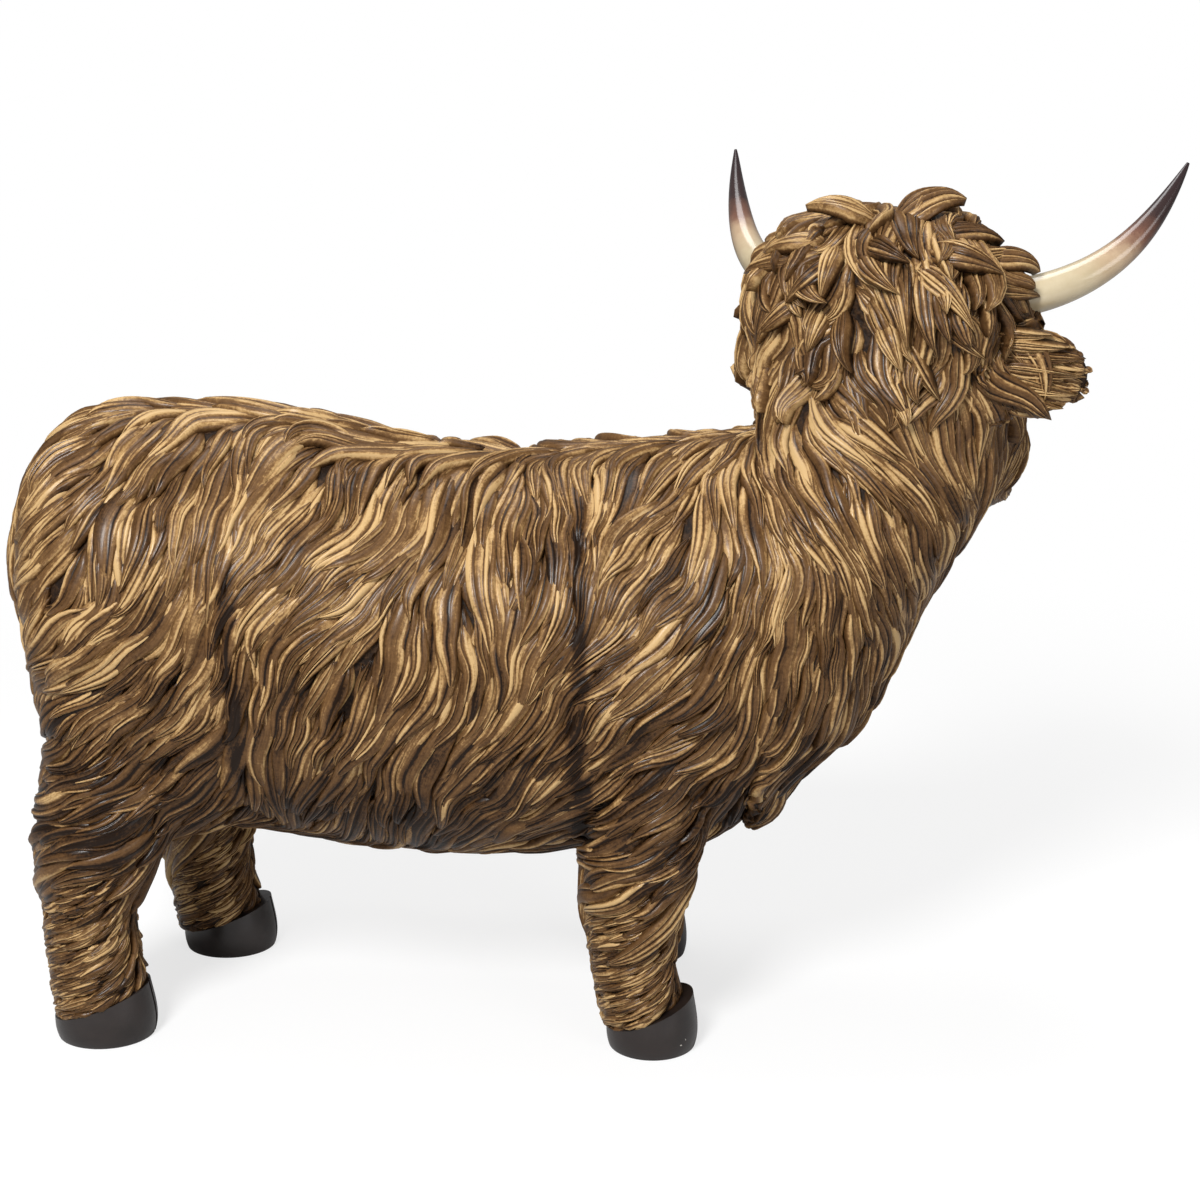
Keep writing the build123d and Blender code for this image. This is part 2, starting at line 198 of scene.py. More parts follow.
def ramp_value(paint, value, low, high, to_low, to_high):
    made = paint.node("ShaderNodeMapRange", {
        "Value": value, "From Min": low, "From Max": high, "To Min": to_low, "To Max": to_high,
    }, interpolation_type="SMOOTHSTEP")
    return made.outputs[0]


# Heights in metres over which painted shade darkens the paint towards the belly, and over which the paint
# gets lighter again to the legs
belly_shade_heights = (0.085, 0.190)
leg_heights = (0.055, 0.095)


def painted_shade_by_height(paint):
    """Painted shade and light by height: less tan on the belly and the tops of the legs, a little more high
    on the body, the lower legs back to their plain tone.
    """
    split = paint.node("ShaderNodeSeparateXYZ", {"Vector": paint.place()})
    belly_shade = ramp_value(paint, split.outputs["Z"], *belly_shade_heights, -0.22, 0.05)
    legs = ramp_value(paint, split.outputs["Z"], *leg_heights, 0.22, 0.0)
    return paint.math("ADD", belly_shade, legs)


# The joins between castings, in metres: uneven by, dark and clear beyond, and fade in mm
join_wobble = 0.012
join_half_widths = (0.0004, 0.0046)
join_darkness = 0.44
join_fade = 8.0


def join_line(paint, join_x, low, high):
    """Dark uneven line in the paint where two castings meet."""
    place = paint.place()
    split = paint.node("ShaderNodeSeparateXYZ", {"Vector": place})
    uneven = paint.math("SUBTRACT", paint.noise(place, 70.0, 4.0, 0.6), 0.5)
    wobble = paint.math("MULTIPLY", uneven, join_wobble)
    off = paint.math("SUBTRACT", paint.math("ADD", split.outputs["X"], wobble), join_x * metre)
    near = ramp_value(paint, paint.math("ABSOLUTE", off), *join_half_widths, join_darkness, 0.0)
    above = ramp_value(paint, split.outputs["Z"], (low - join_fade) * metre, low * metre, 0.0, 1.0)
    below = ramp_value(paint, split.outputs["Z"], high * metre, (high + 2 * join_fade) * metre, 1.0, 0.0)
    return paint.math("MULTIPLY", near, paint.math("MULTIPLY", above, below))


# Each join's place along the body and the heights between which it shows
joins = ((front_join_x, 86.0, 200.0), (rear_join_x, 112.0, 186.0))


def coat_paint():
    """Dark brown in the grooves, dry-brushed tan on the strands' crests with painted shade at the locks'
    roots and edges and low on the body, satin lacquer.
    """
    paint = Paint("coat_paint")
    # The crest attribute holds the dry-brushed tan, lessened by painted shade at the locks' roots and sunk
    # edges
    crest = paint.attribute("crest")
    tone = paint.attribute("tone")
    streak = paint.attribute("streak", "Vector")
    fine = paint.noise(paint.stretched(streak, (1.5, 0.10, 1.0)), 1.0, 4.0, 0.6)
    patch = paint.noise(paint.place(), 55.0, 3.0, 0.6)
    speck = paint.noise(paint.place(), 900.0, 3.0, 0.7)
    level = paint.math("MULTIPLY_ADD", paint.math("SUBTRACT", fine, 0.5), 0.75, crest)
    level = paint.math("MULTIPLY_ADD", paint.math("SUBTRACT", patch, 0.5), 0.70, level)
    level = paint.math("MULTIPLY_ADD", paint.math("SUBTRACT", speck, 0.5), 0.62, level)
    level = paint.math("ADD", level, tone)
    # Painted shade low on the body and a little painted light high on it
    level = paint.math("ADD", level, painted_shade_by_height(paint))
    for join_x, low, high in joins:
        level = paint.math("SUBTRACT", level, join_line(paint, join_x, low, high))
    colour = paint.ramp(level, [
        (0.10, groove_colour), (0.32, brown_colour), (0.64, warm_brown_colour),
        (0.84, tan_colour), (1.0, pale_tan_colour),
    ])
    paint.surface(colour, paint.math("MULTIPLY_ADD", patch, 0.22, 0.27), 0.13, 0.17, 0.13)
    paint.bump(paint.math("ADD", fine, paint.math("MULTIPLY", speck, 0.5)), 0.35, 0.0004)
    return paint.material


def skin_paint():
    """Undercoat that shows between the locks."""
    paint = Paint("skin_paint")
    grain = paint.noise(paint.place(), 420.0, 4.0, 0.65)
    colour = paint.ramp(grain, [(0.45, groove_colour), (0.75, brown_colour)])
    paint.surface(colour, 0.6, 0.0, 0.3, 0.2)
    paint.bump(grain, 0.6, 0.0012)
    return paint.material


def horn_paint(name):
    """Cream horn with fine grooves along it, its tip airbrushed red-brown and near black."""
    points, _ = mesh_arrays(nodes[name].data)
    tip = points[points[:, 2].argmax()]
    root = points[points[:, 2].argmin()]
    paint = Paint(name + "_paint")
    place = paint.place()
    gap = paint.node("ShaderNodeVectorMath", {0: place, 1: tuple(tip * metre)}, operation="DISTANCE")
    cloud = paint.noise(place, 160.0, 3.0, 0.6)
    far = paint.math("MULTIPLY_ADD", paint.math("SUBTRACT", cloud, 0.5), 0.012, gap.outputs["Value"])
    share = paint.math("MULTIPLY", far, 1 / horn_fade_length)
    mottle = paint.noise(place, 60.0, 4.0, 0.6)
    cream = paint.ramp(mottle, [
        (0.3, (0.42, 0.335, 0.20)), (0.5, (0.50, 0.41, 0.265)), (0.75, (0.57, 0.485, 0.33)),
    ])
    dark = paint.ramp(share, [
        (0.0, (0.022, 0.012, 0.014)), (0.40, (0.034, 0.018, 0.017)), (0.58, (0.16, 0.075, 0.05)),
        (0.78, (0.46, 0.30, 0.19)),
    ])
    shown = paint.node("ShaderNodeMapRange", {"Value": share, "From Min": 0.62, "From Max": 1.0})
    paint.surface(paint.mix(shown.outputs[0], dark, cream), 0.22, 0.5, 0.12, 0.5)
    axis = Vector(tip - root).to_track_quat("Z", "Y").to_euler()
    turned = paint.node("ShaderNodeVectorRotate", {"Vector": place, "Rotation": tuple(-a for a in axis)},
                        rotation_type="EULER_XYZ", invert=False)
    grooves = paint.noise(paint.stretched(turned.outputs[0], (1500.0, 1500.0, 60.0)), 1.0, 3.0, 0.6)
    paint.bump(grooves, 0.07, 0.0004)
    return paint.material


chip_colour = (0.62, 0.58, 0.52, 1.0)


def hoof_paint(chips):
    """Satin charcoal brown with faint brush marks and a few chips that show white."""
    paint = Paint("hoof_paint" if chips == 0 else "front_hoof_paint")
    place = paint.place()
    cloud = paint.noise(place, 90.0, 4.0, 0.6)
    brush = paint.noise(paint.stretched(place, (1.0, 1.0, 6.0)), 240.0, 3.0, 0.6)
    base = paint.ramp(cloud, [(0.3, (0.0120, 0.0078, 0.0068)), (0.7, (0.0230, 0.0158, 0.0138))])
    spots = paint.node("ShaderNodeTexVoronoi", {"Vector": place, "Scale": 300.0})
    near = paint.math("LESS_THAN", spots.outputs["Distance"], 0.17)
    rare = paint.math("GREATER_THAN", paint.noise(place, 130.0, 2.0, 0.5), 0.62)
    chipped = paint.math("MULTIPLY", paint.math("MULTIPLY", near, rare), chips)
    colour = paint.mix(chipped, base, chip_colour)
    paint.surface(colour, paint.math("MULTIPLY_ADD", brush, 0.2, 0.28), 0.3, 0.2, 0.5)
    paint.bump(brush, 0.12, 0.0006)
    return paint.material


# Darkest and palest colour, roughness and metallic share
steel = ((0.36, 0.35, 0.34), (0.48, 0.47, 0.46), 0.30, 1.0)
plastic = ((0.014, 0.013, 0.012), (0.026, 0.024, 0.022), 0.45, 0.0)


def plain_paint(name, low, high, roughness, metal):
    """Material of a piece that is hidden inside or below, with a faint cloudy grain."""
    paint = Paint(name)
    grain = paint.noise(paint.place(), 180.0, 4.0, 0.6)
    colour = paint.ramp(grain, [(0.3, low), (0.7, high)])
    paint.surface(colour, paint.math("MULTIPLY_ADD", grain, 0.15, roughness), metal=metal)
    paint.bump(grain, 0.15, 0.0003)
    return paint.material


# Skin round the coat's castings, which the locks of hair follow

leg_names = ("rear_right", "rear_left", "front_right", "front_left")
coat_nodes = ["hindquarter_shell", "barrel_shell", "forequarter_shell", "head_neck_shell"]
coat_nodes += ["right_ear", "left_ear", "tail"] + [name + "_leg" for name in leg_names]
skin_voxel = 1.8
skin_smoothing = 5
skin_inset = 2.4
leg_inset = 0.9
ear_inset = 1.2
# The hollows of the castings are filled in bands of height, from and to
hollow_bands = {
    "hindquarter_shell": ((86, 400),), "barrel_shell": ((0, 400),), "forequarter_shell": ((86, 400),),
    "head_neck_shell": ((60, 150), (130, 200), (180, 236), (214, 400)),
}
core_growth = 1.02
ray_gap = 0.2
# Between these heights the skin goes from the legs' inset to the body's
inset_heights = (60.0, 95.0)
weld_gap = 0.02


def mesh_arrays(mesh):
    """Points in millimetres and triangles of a mesh."""
    points = np.empty(len(mesh.vertices) * 3)
    mesh.vertices.foreach_get("co", points)
    mesh.calc_loop_triangles()
    triangles = np.empty(len(mesh.loop_triangles) * 3, dtype=np.int64)
    mesh.loop_triangles.foreach_get("vertices", triangles)
    return points.reshape(-1, 3) / metre, triangles.reshape(-1, 3)


def outer_island(points, triangles):
    """The triangles of the connected piece that reaches furthest along X."""
    labels = np.arange(len(points))
    edges = np.concatenate([triangles[:, [0, 1]], triangles[:, [1, 2]]])
    while True:
        low = np.minimum(labels[edges[:, 0]], labels[edges[:, 1]])
        lower = labels.copy()
        np.minimum.at(lower, edges[:, 0], low)
        np.minimum.at(lower, edges[:, 1], low)
        lower = lower[lower]
        if (lower == labels).all():
            break
        labels = lower
    outer = labels[points[:, 0].argmax()]
    return triangles[labels[triangles[:, 0]] == outer]


def corners_of(points, triangles):
    """The triangles' first, second and third corners."""
    return tuple(points[triangles[:, corner]] for corner in range(3))


def hollow_core(points, triangles, low, high):
    """Convex filling of a casting's hollow between two heights."""
    tree = BVHTree.FromPolygons(points.tolist(), triangles.tolist())
    a, b, c = corners_of(points, triangles)
    centres, normals = (a + b + c) / 3, unit(np.cross(b - a, c - a))
    starts = centres + normals * ray_gap
    inner = np.array([tree.ray_cast(o, d)[0] is not None for o, d in zip(starts.tolist(), normals.tolist())])
    inner &= (centres[:, 2] > low) & (centres[:, 2] < high)
    chosen = points[np.unique(triangles[inner])]
    work = bmesh.new()
    for point in chosen.tolist():
        work.verts.new(point)
    bmesh.ops.convex_hull(work, input=work.verts)
    bmesh.ops.delete(work, geom=[v for v in work.verts if not v.link_faces], context="VERTS")
    bmesh.ops.triangulate(work, faces=work.faces)
    work.verts.index_update()
    core = np.array([v.co[:] for v in work.verts])
    faces = np.array([[v.index for v in f.verts] for f in work.faces])
    work.free()
    middle = core.mean(0)
    return middle + (core - middle) * core_growth, faces


# The head faces along head_facing from head_middle
head_turn = math.radians(60.0)
head_facing = np.array([math.cos(head_turn), math.sin(head_turn), 0.0])
head_side = np.array([math.sin(head_turn), -math.cos(head_turn), 0.0])
head_middle = origin + np.array([111.0, 5.0, 0.0])

# The photograph's outline of the rump, chest and left ear, where it lies inside the castings
rump_start = -160.0
rump_end = -214.0
rump_heights = (45.0, 69.0, 85.0, 104.0, 120.0, 136.0, 155.0, 179.0, 200.0, 225.0)
rump_shifts = (2.5, 4.5, 5.0, 8.5, 12.0, 10.5, 8.5, 6.0, 5.0, 4.0)
chest_corner = np.array([92.0, 86.0])
chest_reach = 48.0
chest_shift = np.array([-8.0, 7.0])
left_ear_start = 48.0
left_ear_share = 0.6
left_ear_bottom = 232.0
head_back = 30.0


def fit_outline(points):
    """Skin points moved a little to the photograph's outline."""
    fitted = points.copy()
    share = smoothstep(-rump_start, -rump_end, -points[:, 0])
    fitted[:, 0] += share * np.interp(points[:, 2], rump_heights, rump_shifts)
    gap = np.linalg.norm(points[:, [0, 2]] - chest_corner, axis=1)
    fitted[:, [0, 2]] += (1 - smoothstep(0.0, chest_reach, gap))[:, None] * chest_shift
    out = -(points - head_middle) @ head_side - left_ear_start
    out = np.where((points[:, 2] > left_ear_bottom) & (points[:, 0] > head_back), np.maximum(out, 0.0), 0.0)
    fitted += (out * (1 - left_ear_share))[:, None] * head_side
    return fitted


class Skin:
    """Smooth closed skin with quick nearest-place questions."""

    def __init__(self, names):
        owners, stacks, count = [], [[], []], 0
        for number, name in enumerate(names):
            points, triangles = mesh_arrays(nodes[name].data)
            stacks[0].append(points)
            stacks[1].append(triangles + count)
            owners += [number] * len(triangles)
            count += len(points)
            for low, high in hollow_bands.get(name, ()):
                core, faces = hollow_core(points, triangles, low, high)
                stacks[0].append(core)
                stacks[1].append(faces + count)
                owners += [number] * len(faces)
                count += len(core)
        points, triangles = np.concatenate(stacks[0]), np.concatenate(stacks[1])
        self.owner_tree = BVHTree.FromPolygons(points.tolist(), triangles.tolist())
        self.owners = np.array(owners)
        mesh = bpy.data.meshes.new("skin_work")
        mesh.from_pydata((points * metre).tolist(), [], triangles.tolist())
        work = bpy.data.objects.new("skin_work", mesh)
        bpy.context.scene.collection.objects.link(work)
        weld = work.modifiers.new("weld", "WELD")
        weld.merge_threshold = weld_gap * metre
        remesh = work.modifiers.new("remesh", "REMESH")
        remesh.mode = "VOXEL"
        remesh.voxel_size = skin_voxel * metre
        smooth = work.modifiers.new("smooth", "SMOOTH")
        smooth.iterations = skin_smoothing
        made = work.evaluated_get(bpy.context.evaluated_depsgraph_get()).to_mesh()
        self.points, triangles = mesh_arrays(made)
        self.triangles = outer_island(self.points, triangles)
        bpy.data.objects.remove(work)
        inset = leg_inset + (skin_inset - leg_inset) * smoothstep(*inset_heights, self.points[:, 2:])
        on_ear = np.isin(self.owner(self.points), [names.index("right_ear"), names.index("left_ear")])
        inset[on_ear] = ear_inset
        self.points = fit_outline(self.points - self.vertex_normals() * inset)
        a, b, c = corners_of(self.points, self.triangles)
        self.areas = np.linalg.norm(np.cross(b - a, c - a), axis=1) / 2
        self.normals = unit(sum(corners_of(self.vertex_normals(), self.triangles)))
        self.tree = BVHTree.FromPolygons(self.points.tolist(), self.triangles.tolist())

    def vertex_normals(self):
        """Unit normals at the skin's points."""
        a, b, c = corners_of(self.points, self.triangles)
        normals = np.zeros_like(self.points)
        for corner in range(3):
            np.add.at(normals, self.triangles[:, corner], np.cross(b - a, c - a))
        return unit(normals)

    def nearest(self, points):
        """Nearest places on the skin and the normals there."""
        hits = [self.tree.find_nearest(p) for p in points.tolist()]
        places = np.array([hit[0][:] for hit in hits])
        return places, self.normals[[hit[2] for hit in hits]]

    def owner(self, points):
        """Which of the nodes each point belongs to."""
        found = [self.owner_tree.find_nearest(p)[2] for p in points.tolist()]
        return self.owners[found]

    def scatter(self, count):
        """Random points spread evenly over the skin, with normals."""
        chances = np.cumsum(self.areas)
        chosen = np.searchsorted(chances, rng.random(count) * chances[-1])
        r, s = np.sqrt(rng.random(count)), rng.random(count)
        a, b, c = corners_of(self.points, self.triangles[chosen])
        weights = (1 - r)[:, None], (r * (1 - s))[:, None], (r * s)[:, None]
        return a * weights[0] + b * weights[1] + c * weights[2], self.normals[chosen]


def unit(vectors):
    """Vectors scaled to length one."""
    return vectors / np.maximum(np.linalg.norm(vectors, axis=-1, keepdims=True), 1e-9)


def smoothstep(low, high, value):
    share = np.clip((value - low) / (high - low), 0, 1)
    return share * share * (3 - 2 * share)


# The way the hair grows on the side that the photograph shows: pixel and direction.
# 180 is towards the rump, 270 is down, 0 is forward.
side_guides = (
    (115, 409, 192), (76, 428, 215), (48, 456, 228), (153, 428, 210), (191, 437, 240), (220, 466, 240),
    (67, 485, 220), (115, 495, 232), (134, 543, 266), (172, 533, 262), (191, 504, 238), (29, 514, 238),
    (48, 543, 242), (86, 552, 250), (115, 571, 262), (29, 571, 242), (67, 590, 235), (115, 610, 218),
    (163, 600, 250), (76, 638, 215), (134, 638, 205), (191, 629, 235), (201, 581, 275), (230, 523, 265),
    (258, 495, 245), (277, 543, 215), (268, 590, 245), (249, 629, 252), (150, 460, 225), (228, 412, 205),
    (262, 440, 235), (319, 418, 192), (377, 434, 178), (405, 451, 205), (472, 457, 208), (434, 485, 235),
    (367, 495, 240), (338, 495, 255), (478, 495, 262), (520, 485, 262), (577, 476, 258), (415, 524, 240),
    (338, 543, 225), (453, 533, 232), (501, 523, 250), (545, 533, 265), (577, 543, 275), (367, 562, 215),
    (405, 571, 250), (463, 581, 245), (491, 581, 275), (530, 581, 275), (577, 581, 285), (348, 600, 210),
    (329, 638, 225), (415, 619, 270), (438, 619, 265), (466, 619, 285), (491, 638, 300), (516, 638, 255),
    (549, 629, 250), (577, 648, 235), (322, 676, 255), (354, 676, 255), (408, 654, 262), (398, 698, 225),
    (365, 730, 215), (469, 676, 285), (458, 717, 235), (506, 708, 240), (549, 665, 238), (560, 708, 250),
    (398, 752, 255), (417, 763, 280), (387, 784, 262), (421, 806, 250), (322, 763, 235), (343, 806, 262),
    (495, 769, 225), (484, 795, 215), (534, 773, 250), (560, 784, 235), (517, 806, 205), (452, 828, 220),
    (275, 690, 262), (280, 750, 262), (250, 780, 262), (300, 790, 260),
    (589, 457, 250), (627, 452, 225), (646, 442, 200), (694, 438, 195), (671, 463, 262), (703, 463, 225),
    (732, 457, 255), (751, 438, 235), (617, 515, 240), (646, 534, 225), (679, 534, 235), (713, 524, 262),
    (747, 524, 262), (656, 572, 218), (703, 563, 232), (742, 563, 245), (598, 591, 235), (637, 620, 222),
    (694, 620, 240), (732, 610, 235), (763, 601, 255), (617, 649, 218), (665, 658, 225), (732, 658, 235),
    (767, 649, 245), (601, 671, 225), (662, 692, 238), (703, 692, 250), (744, 671, 245), (764, 692, 250),
    (611, 727, 245), (642, 714, 205), (682, 727, 190), (713, 733, 190), (744, 733, 220), (621, 753, 235),
    (652, 743, 208), (703, 748, 190), (601, 794, 200), (642, 794, 200), (672, 790, 225), (703, 773, 225),
    (733, 763, 230), (621, 810, 186), (601, 824, 183), (682, 824, 235),
    (767, 438, 262), (790, 438, 276), (770, 477, 290), (799, 467, 300), (837, 429, 315), (761, 515, 300),
    (790, 524, 300), (818, 515, 290), (847, 515, 280), (790, 572, 270), (837, 572, 280), (790, 620, 262),
    (837, 630, 262), (818, 668, 250), (780, 651, 262), (805, 661, 262), (784, 712, 262), (805, 702, 278),
    (825, 722, 245), (846, 692, 262), (774, 743, 240), (795, 763, 250), (754, 773, 230), (744, 794, 250),
    (807, 364, 270), (822, 353, 284), (801, 384, 265), (781, 384, 240), (791, 404, 262), (826, 384, 310),
    (862, 404, 325), (842, 435, 318), (883, 425, 305), (913, 435, 300), (883, 343, 310), (903, 374, 300),
    (934, 364, 300), (944, 384, 290), (924, 466, 290), (954, 455, 285), (985, 445, 275), (880, 480, 295),
    (900, 530, 285), (940, 510, 280), (880, 580, 280), (860, 640, 265), (915, 590, 275),
    (124, 755, 205), (76, 755, 222), (76, 707, 230), (134, 707, 215), (182, 688, 235), (172, 745, 220),
    (57, 783, 195), (115, 783, 198), (172, 793, 220), (48, 812, 190), (96, 812, 195), (153, 803, 215),
)
guide_reach = 9.5
wave_angle = math.radians(17.0)
wave_length = 46.0


def cast_guides():
    """Places and directions of the guides on the skin, on both sides of the body."""
    places, ways = [], []
    for u, v, degrees in side_guides:
        ray = pixel_ray(u, v)
        hit = skin.tree.ray_cast(camera_place.tolist(), ray.tolist())
        if hit[0] is None:
            continue
        angle = math.radians(degrees)
        way = sight_right * math.cos(angle) + sight_up * math.sin(angle)
        normal = skin.normals[hit[2]]
        slid = way - ray * (normal @ way) / (normal @ ray)
        slid = unit(slid) if normal @ -ray > 0.25 else unit(way - normal * (normal @ way))
        place = np.array(hit[0][:])
        for side in (1, -1):
            places.append([place[0], middle_y + side * (place[1] - middle_y), place[2]])
            ways.append([slid[0], side * slid[1], slid[2]])
    return np.array(places), np.array(ways)


# Ways over the parts that the photograph hides: place from the body's zero, and way
hidden_guides = (
    ((-215, 0, 228), (-1, 0, -0.5)), ((-180, 0, 243), (-1, 0, 0)), ((-120, 0, 243), (-1, 0, 0)),
    ((-60, 0, 230), (-1, 0, 0)), ((0, 0, 230), (-1, 0, 0)), ((50, 0, 236), (-1, 0, -0.1)),
    ((-226, 22, 190), (-0.1, 0.25, -1)), ((-224, 24, 150), (0, 0.1, -1)), ((-215, 26, 110), (0.2, 0, -1)),
    ((-120, 20, 72), (-1, 0, 0)), ((-60, 20, 68), (-1, 0, 0)), ((-20, 20, 68), (-1, 0, 0)),
    ((30, 10, 80), (-1, 0, -0.4)), ((70, 15, 86), (-0.7, 0, -0.7)), ((95, 15, 115), (-0.3, 0, -1)),
    ((118, 18, 150), (-0.1, 0, -1)), ((128, 20, 175), (0, 0, -1)), ((140, 15, 200), (0, 0, -1)),
    ((-190, 25, 80), (-0.2, 0, -1)), ((0, 25, 78), (-0.8, 0, -0.6)),
)


def add_hidden_guides(places, ways):
    """The guides with the hidden ones, mirrored too."""
    for place, way in hidden_guides:
        for side in (1, -1):
            places = np.vstack([places, origin + [place[0], side * place[1], place[2]]])
            ways = np.vstack([ways, unit(np.array([way[0], side * way[1], way[2]], dtype=float))])
    return places, ways


def body_flow(points):
    """The way the hair grows on the trunk and the neck."""
    gaps = ((points[:, None, :] - guide_places[None]) ** 2).sum(2)
    weights = np.exp(-gaps / (2 * guide_reach**2))
    floor = np.exp(-gaps / (2 * (guide_reach * 3) ** 2)) * 1e-3
    return (weights + floor) @ guide_ways + np.array([-1e-7, 0, -2e-7])


def wavy(points, ways, normals):
    """Ways turned left and right in long waves, so that the locks bend like an S."""
    phase = points @ np.array([[0.05, 0.03, 0.10], [-0.04, 0.06, 0.05]]).T
    wander = 2.5 * np.sin(phase[:, 0]) + 2 * np.sin(phase[:, 1])
    swing = np.sin(points[:, 2] * 2 * math.pi / wave_length + wander)
    angle = (wave_angle * swing)[:, None]
    return ways * np.cos(angle) + np.cross(normals, ways) * np.sin(angle)


# Locks of hair


# Each strand's shape and paint, from its left edge to its right edge
across_shares = (0.0, 0.15, 0.34, 0.62, 0.85)
crest_shares = (0.0, 0.70, 1.0, 0.96, 0.66)
broad_paint_shares = (0.0, 0.55, 0.95, 0.95, 0.60)
thin_paint_shares = (0.0, 0.38, 0.50, 0.56, 0.98)
broad_share = 0.42
plain_lock_share = 0.25
plain_tone = 0.16
striped_tone = -0.02
tone_spread = 0.07
edge_share = 0.12
atlas_margin = 0.06


def trace(roots, lengths, way_at, rings, inertia=0.55, turn=None):
    """Places and normals along the locks' middle lines, from root to tip on the skin."""
    places, normals = skin.nearest(roots)
    line, upright = [places], [normals]
    ways = None
    for step in range(rings - 1):
        fresh = way_at(places, normals)
        fresh = unit(fresh - normals * (fresh * normals).sum(1, keepdims=True))
        if turn is not None:
            angle = (turn * (step / (rings - 1) - 0.4))[:, None]
            fresh = fresh * np.cos(angle) + np.cross(normals, fresh) * np.sin(angle)
        ways = fresh if ways is None else unit(ways * inertia + fresh * (1 - inertia))
        places, normals = skin.nearest(places + ways * (lengths / (rings - 1))[:, None])
        line.append(places)
        upright.append(normals)
    return np.stack(line, 1), np.stack(upright, 1)


def along_of(line):
    """Unit directions along middle lines."""
    ahead = np.concatenate([line[:, 1:], line[:, -1:]], 1)
    back = np.concatenate([line[:, :1], line[:, :-1]], 1)
    return unit(ahead - back)


def strand_edges(count, strands):
    """Uneven edges of the strands across each lock, from -1 to 1."""
    widths = 0.55 + rng.random((count, strands))
    edges = np.concatenate([np.zeros((count, 1)), np.cumsum(widths, 1)], 1)
    return edges / edges[:, -1:] * 2 - 1


def lock_points(line, upright, widths, shape, strands, on_skin=True):
    """Points and paint of closed locks: (count, rings, columns) arrays."""
    count, rings = line.shape[:2]
    ways = along_of(line)
    sides = unit(np.cross(upright, ways))
    t = np.linspace(0, 1, rings)
    outline = shape["outline"](t)[None, :] * widths[:, None]
    reach = sides * outline[:, :, None]
    if on_skin:
        left, left_up = skin.nearest((line - reach).reshape(-1, 3))
        right, right_up = skin.nearest((line + reach).reshape(-1, 3))
        left, right = left.reshape(line.shape), right.reshape(line.shape)
        left_up, right_up = left_up.reshape(line.shape), right_up.reshape(line.shape)
    else:
        left, right, left_up, right_up = line - reach, line + reach, upright, upright
    edges = np.repeat(strand_edges(count, strands)[:, None, :], rings, 1)
    sway = np.sin(2 * math.pi * (t[None, :, None] * 0.9 + rng.random((count, 1, strands + 1))))
    sway[:, :, [0, -1]] = 0
    edges = edges + sway * 0.20 / strands
    span = np.diff(edges, axis=2)
    inner = edges[:, :, :-1, None] + span[..., None] * np.array(across_shares)
    s = np.concatenate([inner.reshape(count, rings, -1), edges[:, :, -1:]], 2)
    crest = np.concatenate([np.tile(np.array(crest_shares), strands), [0.0]])
    heights = 0.50 + 0.80 * rng.random((count, 1, strands))
    fade = 0.72 + 0.28 * np.cos(2 * math.pi * (t[None, :, None] - rng.random((count, 1, strands))))
    columns = len(across_shares)
    strand_height = np.concatenate([np.repeat(heights * fade, columns, 2), np.ones((count, rings, 1))], 2)
    s3 = s[..., None]
    bend = (left + right) / 2 - line
    base = line[:, :, None] + s3 * ((right - left) / 2)[:, :, None] + s3**2 * bend[:, :, None]
    mean_up = (left_up + right_up) / 2 - upright
    turn_up = (right_up - left_up) / 2
    normal = unit(upright[:, :, None] + s3 * turn_up[:, :, None] + s3**2 * mean_up[:, :, None])
    rise = np.clip((1 - np.abs(s)) / edge_share, 0, 1) ** 0.6
    crown = (1 - np.abs(s) ** 2.4) ** 0.7
    lift = np.interp(t, *body_profiles["lift"])[None, :] * shape["lifts"][:, None]
    lift = lift + smoothstep(0.55, 1.0, t)[None, :] * shape["curls"][:, None]
    thick = np.interp(t, *body_profiles["thick"])[None, :] * shape["thicks"][:, None]
    ridge = np.interp(t, *body_profiles["ridge"])[None, :] * shape["ridges"][:, None]
    tilt = shape["tilts"][:, None, None] * s * thick[:, :, None]
    top = lift[:, :, None] + thick[:, :, None] * (0.3 + 0.7 * crown) + tilt
    top = top + ridge[:, :, None] * crest * strand_height
    sink = shape["sink"]
    height = -sink + (top + sink) * rise
    points = base + normal * height[..., None]
    broad = (rng.random((count, strands)) < broad_share)[:, :, None]
    painted = np.where(broad, np.array(broad_paint_shares), np.array(thin_paint_shares)).reshape(count, -1)
    painted = np.concatenate([painted, np.zeros((count, 1))], 1)
    paint = painted[:, None, :] * (0.55 + 0.45 * np.minimum(strand_height, 1.1))
    # Painted shade: the dry-brushed tan fades towards each lock's root, under the locks that lie over it, and
    # towards its edges where it sinks into the skin
    tan_with_painted_shade = paint * (0.30 + 0.70 * smoothstep(0.0, 0.30, t))[None, :, None]
    tan_with_painted_shade = tan_with_painted_shade * (0.35 + 0.65 * rise)
    lengths = np.linalg.norm(np.diff(line, axis=1), axis=2).sum(1)
    across = s * outline[:, :, None]
    far = np.broadcast_to((t[None, :] * lengths[:, None])[:, :, None], across.shape)
    return {
        "points": points, "crest": tan_with_painted_shade, "across": across, "far": far,
        "s": s, "t": t, "count": count, "rings": rings, "columns": s.shape[2],
    }


def add_piece(mesh, name, material):
    """The object of a mesh, on the body and in its paint slot."""
    mesh.shade_smooth()
    mesh.materials.append(material)
    made = bpy.data.objects.new(name, mesh)
    bpy.context.scene.collection.objects.link(made)
    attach(made, "root")
    return made


